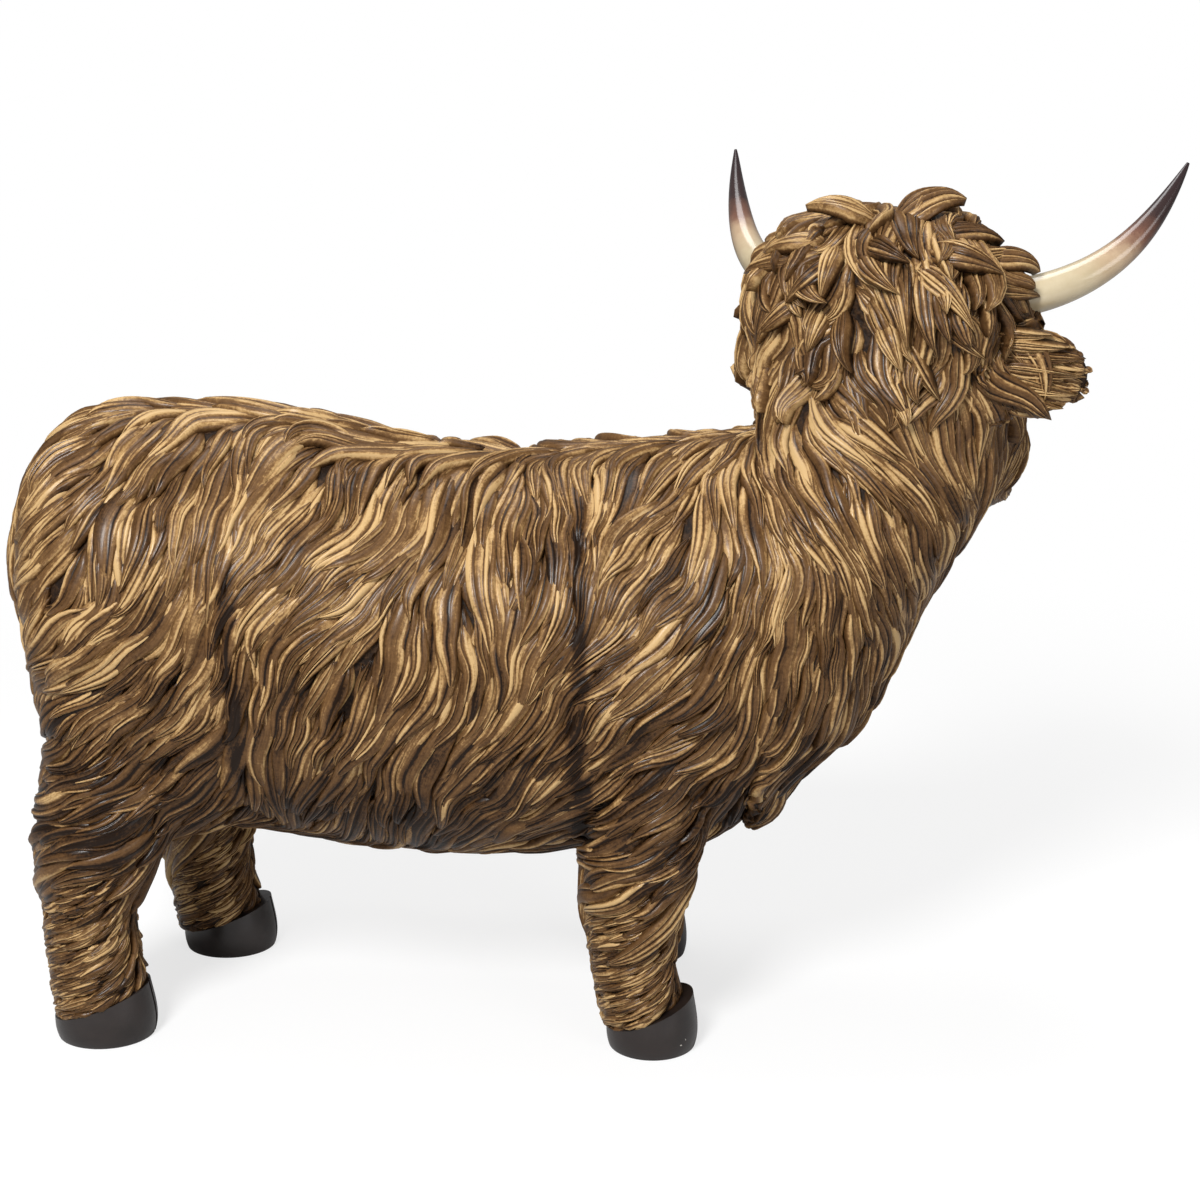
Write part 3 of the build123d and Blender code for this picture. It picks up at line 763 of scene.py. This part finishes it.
def lock_mesh(sets, name, material):
    """One object of many closed locks, with its paint values and its own atlas."""
    points, faces, crests, streaks, tones, cells, caps, cap_sizes = ([] for _ in range(8))
    start = 0
    total = sum(made["count"] for made in sets)
    side = math.ceil(math.sqrt(total / 3))
    rows = math.ceil(total / side)
    number = 0
    for made in sets:
        count, rings, columns = made["count"], made["rings"], made["columns"]
        grid = np.arange(rings * columns).reshape(rings, columns)
        top = np.stack([grid[:-1, :-1], grid[:-1, 1:], grid[1:, 1:], grid[1:, :-1]], -1).reshape(-1, 4)
        under = np.stack([grid[:-1, -1], grid[:-1, 0], grid[1:, 0], grid[1:, -1]], -1)
        quads = np.concatenate([top, under])
        offsets = start + np.arange(count)[:, None, None] * rings * columns
        faces.append((quads[None] + offsets).reshape(-1, 4))
        points.append(made["points"].reshape(-1, 3))
        crests.append(made["crest"].ravel())
        seeds = rng.random(count) * 500
        seed = np.broadcast_to(seeds[:, None, None], made["crest"].shape)
        streaks.append(np.stack([made["across"] + seed, made["far"], seed], -1).reshape(-1, 3))
        plain = rng.random(count) < plain_lock_share
        tone = rng.normal(0, tone_spread, count) + np.where(plain, plain_tone, striped_tone)
        tones.append(np.broadcast_to(tone[:, None, None], made["crest"].shape).ravel())
        places = number + np.arange(count)
        u = (places % side)[:, None, None] + atlas_margin + (made["s"] + 1) / 2 * (1 - 2 * atlas_margin)
        v = (places // side)[:, None, None] + atlas_margin + made["t"][None, :, None] * (1 - 2 * atlas_margin)
        cells.append(np.stack(np.broadcast_arrays(u / side, v / rows), -1).reshape(-1, 2))
        first = start + np.arange(count)[:, None] * rings * columns + np.arange(columns)
        caps.append(np.stack([first[:, ::-1], first + (rings - 1) * columns], 1).ravel())
        cap_sizes.append(np.full(2 * count, columns))
        number += count
        start += count * rings * columns
    points, faces = np.concatenate(points), np.concatenate(faces)
    mesh = bpy.data.meshes.new(name)
    mesh.vertices.add(len(points))
    mesh.vertices.foreach_set("co", (points * metre).astype(np.float32).ravel())
    loops = np.concatenate([faces.ravel(), *caps])
    sizes = np.concatenate([np.full(len(faces), 4), *cap_sizes]).astype(np.int32)
    mesh.loops.add(len(loops))
    mesh.loops.foreach_set("vertex_index", loops.astype(np.int32))
    mesh.polygons.add(len(sizes))
    mesh.polygons.foreach_set("loop_start", np.concatenate([[0], np.cumsum(sizes)[:-1]]).astype(np.int32))
    mesh.update(calc_edges=True)
    mesh.validate()
    for label, kind, field, values in (
        ("crest", "FLOAT", "value", np.concatenate(crests)),
        ("tone", "FLOAT", "value", np.concatenate(tones)),
        ("streak", "FLOAT_VECTOR", "vector", np.concatenate(streaks)),
    ):
        mesh.attributes.new(label, kind, "POINT").data.foreach_set(field, values.astype(np.float32).ravel())
    cells = np.concatenate(cells)
    used = np.empty(len(mesh.loops), dtype=np.int32)
    mesh.loops.foreach_get("vertex_index", used)
    atlas = mesh.uv_layers.new(name="OFBake")
    atlas.data.foreach_set("uv", cells[used].astype(np.float32).ravel())
    return add_piece(mesh, name, material)


def body_outline(t):
    """Width along a lock: narrow root, full body, pointed tip."""
    return (0.20 + 0.80 * smoothstep(0, 0.42, t)) * (1 - t**2.4) ** 0.85 + 0.015


# How proud, thick and ridged a lock is from its root to its tip: places along it, and shares
body_profiles = {
    "lift": ((0, 0.2, 0.6, 0.88, 1), (-1.3, -0.1, 0.75, 1.25, 1.0)),
    "thick": ((0, 0.15, 0.5, 0.8, 1), (0.3, 0.8, 1.0, 0.75, 0.12)),
    "ridge": ((0, 0.15, 0.7, 1), (0.4, 1.0, 1.0, 0.15)),
}


def shape_for(count, lift, thick, ridge, sink=1.0, tilt=0.45):
    """Heights of a set of locks with their random spread."""
    return {
        "outline": body_outline,
        "lifts": lift * (0.7 + 0.6 * rng.random(count)),
        "thicks": thick * (0.75 + 0.5 * rng.random(count)),
        "ridges": ridge * (0.8 + 0.4 * rng.random(count)),
        "tilts": rng.normal(0, tilt, count), "sink": sink,
    }


# Roots further apart than this along the normal lie on different sides of a thin part
same_side_depth = 6.0


def spread_roots(points, ways, normals, across, down):
    """Thins random points so that roots keep a set distance across and down the hair."""
    sides = np.cross(normals, ways)
    kept = np.empty(len(points), dtype=np.int64)
    count = 0
    for index in range(len(points)):
        if count:
            gap = points[kept[:count]] - points[index]
            wide = gap @ sides[index] / across[index]
            long = gap @ ways[index] / down[index]
            high = gap @ normals[index] / same_side_depth
            if (wide**2 + long**2 + high**2).min() < 1:
                continue
        kept[count] = index
        count += 1
    return kept[:count]


skin = Skin(coat_nodes)
guide_places, guide_ways = add_hidden_guides(*cast_guides())


def body_way(places, normals):
    ways = body_flow(places)
    ways = unit(ways - normals * (ways * normals).sum(1, keepdims=True))
    return wavy(places, ways, normals)


def leg_way(places, normals):
    """Short hair on the legs runs back and a little down round each leg."""
    return np.tile(np.array([-0.92, 0.0, -0.40]), (len(places), 1))


def tail_way(places, normals):
    return np.tile(np.array([0.0, 0.0, -1.0]), (len(places), 1))


face_start = 22.0
mop_height = 266.0
crown_forward = 8.0
swirl_length = 44.0
swirl_angle = math.radians(55.0)
fringe_end = 48.0
nose_start = 68.0
nose_top = 238.0
cheek_top = 238.0
cheek_start = 20.0
throat_height = 190.0
mop_half_width = 52.0


def face_way(places, normals):
    """From the forehead down towards the nose, and back along the cheeks."""
    side = ((places - head_middle) @ head_side)[:, None]
    low = (places[:, 2:] < cheek_top) & (np.abs(side) > cheek_start)
    down = np.array([0, 0, -1.0])
    return np.where(low, down - head_facing * 0.2, head_facing * 0.7 + down * 0.7 + head_side * side * 0.02)


ear_lean = head_facing * 0.45 + np.array([0, 0, -0.25])
ear_axes = {side: unit(head_side * side + ear_lean) for side in (1, -1)}


rim_bands = 12


def rim_distance(region, points):
    """How far the ear goes on beyond each point, along its axis."""
    ear = skin.points[skin.owner(skin.points) == coat_nodes.index(region["node"])]
    axis = region["axis"]
    side = unit(np.cross(axis, head_facing))
    middle = ear.mean(0)
    across, along = (ear - middle) @ side, (ear - middle) @ axis
    bands = np.linspace(across.min(), across.max(), rim_bands)
    rims = [along[np.abs(across - band) < bands[1] - bands[0]].max() for band in bands]
    return np.interp((points - middle) @ side, bands, rims) - (points - middle) @ axis


def ear_way(side):
    def way(places, normals):
        return np.tile(ear_axes[side], (len(places), 1))
    return way


def mop_way(places, normals):
    """Falls away from the crown all round."""
    crown = head_middle + head_facing * crown_forward
    away = places - crown
    away[:, 2] = 0
    ways = unit(away) + np.array([0, 0, -0.8])
    ways = unit(ways - normals * (ways * normals).sum(1, keepdims=True))
    x, y, z = (places * 2 * math.pi / swirl_length).T
    swirl = np.sin(x + 2 * np.sin(y * 0.7) + z * 0.6) * np.cos(y * 0.8 + 1.5 * np.sin(z * 0.5))
    angle = (swirl_angle * swirl)[:, None]
    return ways * np.cos(angle) + np.cross(normals, ways) * np.sin(angle)


def locks_like(piece, way, width, length, strands, lift, thick, ridge, **more):
    """A region's locks: half width, length, counts of strands, how proud, thickness and ridges."""
    return dict(piece=piece, way=way, width=width, length=length, strands=strands,
                lift=lift, thick=thick, ridge=ridge, **more)


regions = {
    "hindquarter_shell": locks_like("hindquarter_coat", body_way, 5.4, 44, (2, 3, 4), 1.9, 2.4, 1.15),
    "barrel_shell": locks_like("barrel_coat", body_way, 5.8, 48, (2, 3, 4), 2.0, 2.5, 1.2),
    "forequarter_shell": locks_like("forequarter_coat", body_way, 5.4, 44, (2, 3, 4), 2.0, 2.5, 1.15),
    "neck": locks_like("neck_coat", body_way, 4.6, 42, (2, 3, 4), 1.7, 2.1, 1.05),
    "mop": locks_like("mop_coat", mop_way, 6.2, 34, (4, 5), 2.6, 2.6, 1.1, turn=1.1, curl=6.5),
    "face": locks_like("face_coat", face_way, 2.8, 22, (3, 4), 1.2, 1.2, 0.6, curl=0.2),
}
for ear, side in (("right_ear", 1), ("left_ear", -1)):
    regions[ear] = locks_like(
        ear + "_coat", ear_way(side), 2.8, 20, (2, 3), 0.8, 1.1, 0.8,
        curl=0.0, turn=0.10, axis=ear_axes[side], node=ear,
    )
regions["tail"] = locks_like("tail_coat", tail_way, 3.0, 30, (2, 3), 1.1, 1.4, 0.8)
for leg in leg_names:
    regions[leg + "_leg"] = locks_like(leg + "_leg_coat", leg_way, 2.1, 15, (2, 3), 1.0, 1.1, 0.55)


def region_of(points, owners):
    """Name of the region that each point lies in."""
    names = np.array([coat_nodes[i] for i in owners], dtype=object)
    head = names == "head_neck_shell"
    local = points - head_middle
    forward = local @ head_facing
    high = points[:, 2]
    is_face = head & (forward > face_start) & (high > throat_height)
    is_mop = head & (high > mop_height) & (forward < fringe_end)
    is_mop &= np.abs(local @ head_side) < mop_half_width
    names[head] = "neck"
    names[is_face] = "face"
    names[is_mop] = "mop"
    bare = is_face & (forward > nose_start) & (high < nose_top)
    names[bare] = "bare"
    return names


# Two layers of locks: short flat ones that fill, long proud ones over them.
# Each row: width, length, how proud, thickness, and spacing across and down
layer_shares = (
    (0.95, 0.72, 0.25, 0.55, 0.95, 0.25),
    (1.00, 1.00, 1.00, 1.00, 1.06, 0.26),
)


fewest_rings = 10
ring_gap = 2.6
usual_turn = 0.42
usual_curl = 0.7
# On the ears the locks stop short of the rim, and short locks stay narrow
rim_gap = 1.5
shortest_lock = 3.0
widest_share = 0.4


def comb(region, layer, points, normals):
    """Locks of one region and layer, rooted at some of the points."""
    wide, long, proud, thick, gap_across, gap_down = layer
    width, length = region["width"] * wide, region["length"] * long
    count = len(points)
    ways = region["way"](points, normals)
    ways = unit(ways - normals * (ways * normals).sum(1, keepdims=True))
    size = 0.72 + 0.60 * rng.random(count)
    across = width * gap_across * size
    down = length * gap_down * size
    kept = spread_roots(points, ways, normals, across, down)
    points, size = points[kept], size[kept]
    rings = max(fewest_rings, int(length / ring_gap))
    sets = []
    chosen = rng.integers(0, len(region["strands"]), len(points))
    for index, strands in enumerate(region["strands"]):
        mine = chosen == index
        number = mine.sum()
        if not number:
            continue
        lengths = length * size[mine] * (0.85 + 0.3 * rng.random(number))
        if "axis" in region:
            lengths = np.clip(rim_distance(region, points[mine]) - rim_gap, shortest_lock, lengths)
        turn = rng.normal(0, region.get("turn", usual_turn), number)
        line, upright = trace(points[mine], lengths, region["way"], rings, turn=turn)
        shape = shape_for(number, region["lift"] * proud, region["thick"] * thick, region["ridge"])
        shape["curls"] = region.get("curl", usual_curl) * proud * rng.random(number) ** 2
        widths = np.minimum(width * size[mine], lengths * widest_share)
        sets.append(lock_points(line, upright, widths, shape, strands))
    return sets


# Leaves of the mop and the right ear, seen one by one: root and tip in the photograph's pixels,
# half width, how far they bow to the side and how far they rise, in millimetres
mop_leaves = (
    (884, 222, 806, 207, 6.0, 2, 4), (892, 226, 966, 201, 6.5, 3, 4), (905, 222, 928, 197, 4.0, 0, 3),
    (922, 232, 1003, 243, 5.5, -4, 5), (918, 244, 985, 284, 6.5, -6, 7), (940, 262, 1004, 268, 5.0, -3, 6),
    (975, 255, 1038, 273, 5.5, -2, 6), (950, 278, 1021, 302, 6.0, -4, 6), (905, 262, 966, 328, 6.0, 5, 6),
    (880, 262, 912, 345, 5.5, 5, 6), (862, 246, 905, 296, 5.5, -5, 6), (868, 240, 912, 270, 5.5, -4, 7),
    (836, 240, 830, 300, 5.0, 5, 6), (846, 250, 800, 303, 5.0, 3, 6), (830, 236, 779, 262, 5.0, 3, 5),
    (812, 252, 762, 280, 4.5, 2, 5), (806, 290, 772, 332, 4.5, 3, 5), (806, 276, 838, 300, 5.0, -3, 7),
    (846, 300, 856, 372, 5.5, -5, 4), (875, 315, 903, 372, 5.5, 4, 4), (826, 300, 818, 352, 4.5, 3, 4),
    (992, 338, 1052, 334, 3.4, 1, 1), (990, 346, 1070, 346, 3.6, 1, 1), (988, 356, 1080, 361, 3.8, 1, 1),
    (986, 366, 1082, 376, 3.8, 0, 1), (988, 378, 1074, 391, 3.6, 0, 1), (992, 388, 1060, 402, 3.4, -1, 1),
    (890, 330, 935, 398, 5.0, 3, 3), (930, 300, 978, 352, 5.0, -3, 4), (862, 208, 830, 205, 4.5, 0, 2),
)
leaf_rings = 18
leaf_strands = 5
# Roots that miss the skin are sought this many pixels lower
root_below = 22
root_depth = 3.5
tip_height = 1.5
middle_height = 2.5
leaf_lift = 0.6
leaf_thick = 1.7
leaf_ridge = 1.2
leaf_sink = 2.0
leaf_tilt = 0.5


def leaf_outline(t):
    """Width along a leaf: narrow at both ends."""
    return (0.12 + 0.88 * smoothstep(0, 0.42, t)) * (1 - t**2.2) ** 1.1 + 0.01


def mop_leaf_set():
    """The leaves of the table, each on a bowed line from its root on the skin to its raised tip."""
    line, upright, widths = [], [], []
    for root_u, root_v, tip_u, tip_v, width, bow, rise in mop_leaves:
        hit = skin.tree.ray_cast(camera_place.tolist(), pixel_ray(root_u, root_v).tolist())
        if hit[0] is None:
            beside = camera_place + pixel_ray(root_u, root_v + root_below) * camera_distance
            hit = skin.tree.find_nearest(beside.tolist())
        root, out = np.array(hit[0][:]), skin.normals[hit[2]]
        ray = pixel_ray(tip_u, tip_v)
        tip_hit = skin.tree.ray_cast(camera_place.tolist(), ray.tolist())
        if tip_hit[0] is None:
            tip = camera_place + ray * (((root - camera_place) @ sight + rise) / (ray @ sight))
        else:
            tip = np.array(tip_hit[0][:]) + skin.normals[tip_hit[2]] * (rise + tip_height)
        side = unit(np.cross(out, tip - root))
        middle = (root + tip) / 2 + out * (rise + middle_height) + side * bow
        t = np.linspace(0, 1, leaf_rings)[:, None]
        curve = (root - out * root_depth) * (1 - t) ** 2 + middle * 2 * t * (1 - t) + tip * t**2
        ahead = unit(np.gradient(curve, axis=0))
        line.append(curve)
        over = np.cross(ahead, side)
        upright.append(unit(over) * np.sign((over @ out)[0] or 1.0))
        widths.append(width)
    count = len(mop_leaves)
    shape = shape_for(count, leaf_lift, leaf_thick, leaf_ridge, sink=leaf_sink, tilt=leaf_tilt)
    shape["curls"] = np.zeros(count)
    shape["outline"] = leaf_outline
    line, upright, widths = np.stack(line), np.stack(upright), np.array(widths)
    return lock_points(line, upright, widths, shape, leaf_strands, on_skin=False)


make_camera()
coat_material, skin_material = coat_paint(), skin_paint()
finishes = {"right_horn": horn_paint("right_horn"), "left_horn": horn_paint("left_horn")}
for name in leg_names:
    finishes[name + "_hoof"] = hoof_paint(1 if name == "front_right" else 0)
    finishes[name + "_rod"] = plain_paint(name + "_steel", *steel)
for side in ("right", "left"):
    finishes[side + "_horn_pin"] = plain_paint(side + "_pin_steel", *steel)
finishes["belly_plug"] = plain_paint("plug_plastic", *plastic)
for name, finish in finishes.items():
    nodes[name].data.materials.clear()
    nodes[name].data.materials.append(finish)


def make_casting():
    """The castings' smooth body under the locks, one closed mesh."""
    used, faces = np.unique(skin.triangles, return_inverse=True)
    mesh = bpy.data.meshes.new("coat_casting")
    points = (skin.points[used] * metre).tolist()
    mesh.from_pydata(points, [], faces.reshape(-1, 3).tolist())
    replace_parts(add_piece(mesh, "coat_casting", skin_material), *coat_nodes)


make_casting()

root_tries = 60000
scattered, scattered_normals = skin.scatter(root_tries)
names = region_of(scattered, skin.owner(scattered))
# Most points of the locks in one piece of hair
piece_points = 90000


def part_of(made, start, stop):
    """Some of the locks of a set."""
    whole = {key: made[key] for key in ("t", "rings", "columns")}
    cut = {key: made[key][start:stop] for key in ("points", "crest", "across", "far", "s")}
    return {**whole, **cut, "count": stop - start}


def pieces_of(sets):
    """The sets shared out so that no piece gets too big."""
    piece, used = [], 0
    for made in sets:
        each = made["rings"] * made["columns"]
        start = 0
        while start < made["count"]:
            stop = min(made["count"], start + max(1, (piece_points - used) // each))
            piece.append(part_of(made, start, stop))
            used += (stop - start) * each
            start = stop
            if used + each > piece_points:
                yield piece
                piece, used = [], 0
    if piece:
        yield piece


for label, region in regions.items():
    inside = names == label
    points, normals = scattered[inside], scattered_normals[inside]
    half = len(points) // 2
    sets = comb(region, layer_shares[0], points[:half], normals[:half])
    sets += comb(region, layer_shares[1], points[half:], normals[half:])
    if label == "mop":
        sets.append(mop_leaf_set())
    for number, piece in enumerate(pieces_of(sets)):
        lock_mesh(piece, f"{region['piece']}_{number + 1}", coat_material)


# Nose, mouth and eyes, on the side that the photograph hides


def head_place(out, forward, height):
    """Place on the head's own axes: out to its right, forward and up."""
    return head_middle + head_side * out + head_facing * forward + np.array([0.0, 0.0, height])


before_face = 140.0


def muzzle_hit(out, height):
    """Where a line along the head's facing meets the skin of the muzzle."""
    start = head_place(out, before_face, height)
    hit = skin.tree.ray_cast(start.tolist(), (-head_facing).tolist())
    return (np.array(hit[0][:]), skin.normals[hit[2]]) if hit[0] else (None, None)


nose_height = 211.0
nose_half_width = 25.0
nose_half_height = 15.0
nostril_out = 12.5
nostril_drop = -1.0
mouth_height = 193.0
# The pad: how proud, how far sunk at its rim, its back, and what it widens towards its top
pad_rise = 3.0
pad_rim_sink = 1.0
pad_back = 60.0
pad_front = 78.0
pad_top_share = 0.18
# Nostrils: depth and half sizes of the wells, height and half sizes of the rims round them
well_depth = 7.5
well_half_sizes = (4.4, 2.9)
rim_rise = 1.9
rim_half_sizes = (7.2, 5.6)
rim_up = 0.6
nostril_slant = 0.45
crease_depth = 0.9
crease_half_width = 1.0


def make_nose(material):
    """Bare pad with two deep nostrils, closed at its back."""
    rings, sectors = 26, 72
    points = []
    for ring in range(rings + 1):
        far = ring / rings
        for sector in range(sectors):
            angle = 2 * math.pi * sector / sectors
            out = nose_half_width * far * math.cos(angle)
            up = nose_half_height * far * math.sin(angle)
            out *= 1.0 + pad_top_share * math.sin(angle)
            place, normal = muzzle_hit(out, nose_height + up)
            if place is None:
                place, normal = skin.nearest(np.array([head_place(out, pad_front, nose_height + up)]))
                place, normal = place[0], normal[0]
            rise = pad_rise * (1 - far**3.2) - pad_rim_sink
            for side in (1, -1):
                across = out - side * nostril_out
                along = up - nostril_drop + nostril_slant * (side * across)
                well_wide, well_high = across / well_half_sizes[0], along / well_half_sizes[1]
                rim_wide, rim_high = across / rim_half_sizes[0], (along - rim_up) / rim_half_sizes[1]
                well = math.exp(-(well_wide**2 + well_high**2) ** 2)
                rim = math.exp(-(rim_wide**2 + rim_high**2))
                rise += rim_rise * rim - well_depth * well
            crease = math.exp(-(out / crease_half_width) ** 2) * smoothstep(2.0, -8.0, up)
            points.append(place + normal * (rise - crease_depth * crease))
    faces = ring_faces(rings, sectors)
    back = len(points)
    points.append(head_place(0.0, pad_back, nose_height))
    edge = rings * sectors
    faces += [(edge + sector, back, edge + (sector + 1) % sectors) for sector in range(sectors)]
    return smooth_piece("nose_pad", points, faces, material)


def ring_faces(rings, sectors):
    """Quads between rings of points that are numbered ring by ring."""
    faces = []
    for ring in range(rings):
        for sector in range(sectors):
            after = (sector + 1) % sectors
            low, high = ring * sectors, (ring + 1) * sectors
            faces.append((low + sector, high + sector, high + after, low + after))
    return faces


def smooth_piece(name, points, faces, material):
    """A mesh piece from points in millimetres."""
    mesh = bpy.data.meshes.new(name)
    mesh.from_pydata([tuple(p * metre) for p in points], [], faces)
    work = bmesh.new()
    work.from_mesh(mesh)
    bmesh.ops.remove_doubles(work, verts=work.verts, dist=1e-6)
    bmesh.ops.recalc_face_normals(work, faces=work.faces)
    work.to_mesh(mesh)
    work.free()
    return add_piece(mesh, name, material)


def tube_piece(name, line, radii, material, sectors=20):
    """Closed tube through points with radii."""
    line = np.array(line)
    ways = unit(np.gradient(line, axis=0))
    points = []
    for place, way, radius in zip(line, ways, radii):
        side = unit(np.cross(way, [0.0, 0.0, 1.0]))
        up = np.cross(side, way)
        for sector in range(sectors):
            angle = 2 * math.pi * sector / sectors
            points.append(place + radius * (side * math.cos(angle) + up * math.sin(angle)))
    rings = len(line)
    faces = ring_faces(rings - 1, sectors)
    faces.append(tuple(range(sectors))[::-1])
    faces.append(tuple((rings - 1) * sectors + i for i in range(sectors)))
    return smooth_piece(name, points, faces, material)


# Each lip: name, height beside the mouth's, half width and radius
lips = (("upper_lip", 0.0, 21.0, 4.2), ("lower_lip", -9.0, 18.0, 4.6))
lip_steps = 12
lip_corner_rise = 5.0
lip_depth = 1.2
lip_front = 76.0


def make_lips(material):
    """Upper and lower lip under the nose pad."""
    for name, drop, reach, radius in lips:
        line, radii = [], []
        for step in range(2 * lip_steps + 1):
            share = step / lip_steps - 1
            out = reach * math.sin(share * math.pi / 2)
            height = mouth_height + drop + lip_corner_rise * share**2
            place, normal = muzzle_hit(out, height)
            if place is None:
                near = np.array([head_place(out, lip_front, height)])
                places, normals = skin.nearest(near)
                place, normal = places[0], normals[0]
            line.append(place - normal * lip_depth)
            radii.append(radius * (1 - 0.75 * abs(share) ** 3))
        tube_piece(name, line, radii, material)


eye_out = 33.0
eye_forward = 34.0
eye_height = 250.0
eye_radius = 6.4
eye_sunk_share = 0.35
eye_rings = 18
eye_sectors = 32
lid_steps = 16
lid_out_share = 0.55
lid_half_width = 8.6
lid_half_height = 4.6
# Each lid: name, up or down, and how much thicker than 1 mm it gets in its middle
lids = (("upper_lid", 1, 1.5), ("lower_lid", -1, 0.9))


def make_eyes(eye_material, lid_material):
    """Glossy eyes under heavy lids."""
    for name, side in (("right", 1), ("left", -1)):
        guess = np.array([head_place(side * (eye_out + 12), eye_forward + 10, eye_height)])
        places, normals = skin.nearest(guess)
        centre = places[0] - normals[0] * eye_radius * eye_sunk_share
        ball = []
        for ring in range(eye_rings + 1):
            lift = math.pi * ring / eye_rings
            for sector in range(eye_sectors):
                angle = 2 * math.pi * sector / eye_sectors
                ball.append(centre + eye_radius * np.array([
                    math.sin(lift) * math.cos(angle), math.sin(lift) * math.sin(angle), math.cos(lift),
                ]))
        smooth_piece(name + "_eye", ball, ring_faces(eye_rings, eye_sectors), eye_material)
        across = unit(np.cross([0.0, 0.0, 1.0], normals[0]))
        over = np.cross(normals[0], across)
        for lid, tilt, thicker in lids:
            line, radii = [], []
            for step in range(lid_steps + 1):
                turn = math.pi * step / lid_steps
                line.append(centre + normals[0] * eye_radius * lid_out_share
                            + across * lid_half_width * math.cos(turn)
                            + over * tilt * lid_half_height * math.sin(turn))
                radii.append(1.0 + thicker * math.sin(turn))
            tube_piece(f"{name}_{lid}", line, radii, lid_material, 14)


def bare_skin_paint():
    """Soft dark brown of nose, lips and lids."""
    paint = Paint("nose_paint")
    place = paint.place()
    pores = paint.noise(place, 900.0, 3.0, 0.6)
    cloud = paint.noise(place, 120.0, 3.0, 0.6)
    colour = paint.ramp(cloud, [(0.3, (0.030, 0.018, 0.014)), (0.7, (0.075, 0.045, 0.032))])
    paint.surface(colour, 0.35, 0.3, 0.25, 0.5)
    paint.bump(pores, 0.35, 0.0007)
    return paint.material


def eye_paint():
    """Near black with a deep brown bloom, under thick lacquer."""
    paint = Paint("eye_paint")
    cloud = paint.noise(paint.place(), 200.0)
    colour = paint.ramp(cloud, [(0.3, (0.008, 0.005, 0.004)), (0.8, (0.03, 0.015, 0.009))])
    paint.surface(colour, 0.12, 1.0, 0.03, 0.6)
    return paint.material


nose_material, eye_material = bare_skin_paint(), eye_paint()
make_nose(nose_material)
make_lips(nose_material)
make_eyes(eye_material, nose_material)


# Stage and light


def area_lamp(name, place, target, size, power):
    data = bpy.data.lights.new(name, "AREA")
    data.shape = "DISK"
    data.size = size
    data.energy = power
    lamp = bpy.data.objects.new(name, data)
    bpy.context.scene.collection.objects.link(lamp)
    lamp.location = Vector(place)
    lamp.rotation_mode = "QUATERNION"
    lamp.rotation_quaternion = (Vector(target) - Vector(place)).to_track_quat("-Z", "Y")
    return lamp


floor_side = 12.0
floor_drop = 0.0002
floor_near = 0.25
floor_far = 0.75


def make_floor():
    """Pale floor that takes the shadow and fades to white far away."""
    bpy.ops.mesh.primitive_plane_add(size=floor_side, location=(0, 0, -floor_drop))
    floor = bpy.context.active_object
    floor.name = "floor"
    paint = Paint("floor_pale")
    paint.tree.nodes.clear()
    plain = paint.node("ShaderNodeBsdfDiffuse", {"Color": (0.55, 0.55, 0.55, 1)})
    shown = paint.node("ShaderNodeBsdfDiffuse", {"Color": (0.30, 0.30, 0.30, 1)})
    glow = paint.node("ShaderNodeEmission", {"Color": (0.72, 0.72, 0.72, 1), "Strength": 1.0})
    both = paint.node("ShaderNodeAddShader", {0: shown.outputs[0], 1: glow.outputs[0]})
    white = paint.node("ShaderNodeEmission")
    away = paint.node("ShaderNodeVectorMath", {0: paint.place()}, operation="LENGTH")
    fade = ramp_value(paint, away.outputs["Value"], floor_near, floor_far, 0.0, 1.0)
    far = paint.node("ShaderNodeMixShader", {0: fade, 1: both.outputs[0], 2: white.outputs[0]})
    camera_sees = paint.node("ShaderNodeLightPath").outputs["Is Camera Ray"]
    seen = paint.node("ShaderNodeMixShader", {0: camera_sees, 1: plain.outputs[0], 2: far.outputs[0]})
    paint.node("ShaderNodeOutputMaterial", {"Surface": seen.outputs[0]})
    floor.data.materials.append(paint.material)


# Name, place, target, size and power in watts of each lamp
lamps = (
    ("key", (-0.36, -1.0, 1.05), (0, 0, 0.14), 0.40, 20.3),
    ("fill", (0.9, -0.9, 0.45), (0, 0, 0.15), 0.6, 3.0),
    ("top", (-0.1, 0.25, 1.3), (0, 0, 0.2), 0.7, 6.0),
)
world_strength = 0.24


def make_lights():
    """Even light of the world, white where the camera sees it, and three lamps."""
    world = bpy.data.worlds.new("studio")
    bpy.context.scene.world = world
    world.use_nodes = True
    tree = world.node_tree
    background = tree.nodes["Background"]
    background.inputs["Color"].default_value = (1, 1, 1, 1)
    path = tree.nodes.new("ShaderNodeLightPath")
    strength = tree.nodes.new("ShaderNodeMapRange")
    strength.inputs["To Min"].default_value = world_strength
    strength.inputs["To Max"].default_value = 1.0
    tree.links.new(path.outputs["Is Camera Ray"], strength.inputs["Value"])
    tree.links.new(strength.outputs[0], background.inputs["Strength"])
    for name, place, target, size, power in lamps:
        area_lamp(name, place, target, size, power)


make_floor()
make_lights()
bpy.context.scene.view_settings.view_transform = "Standard"
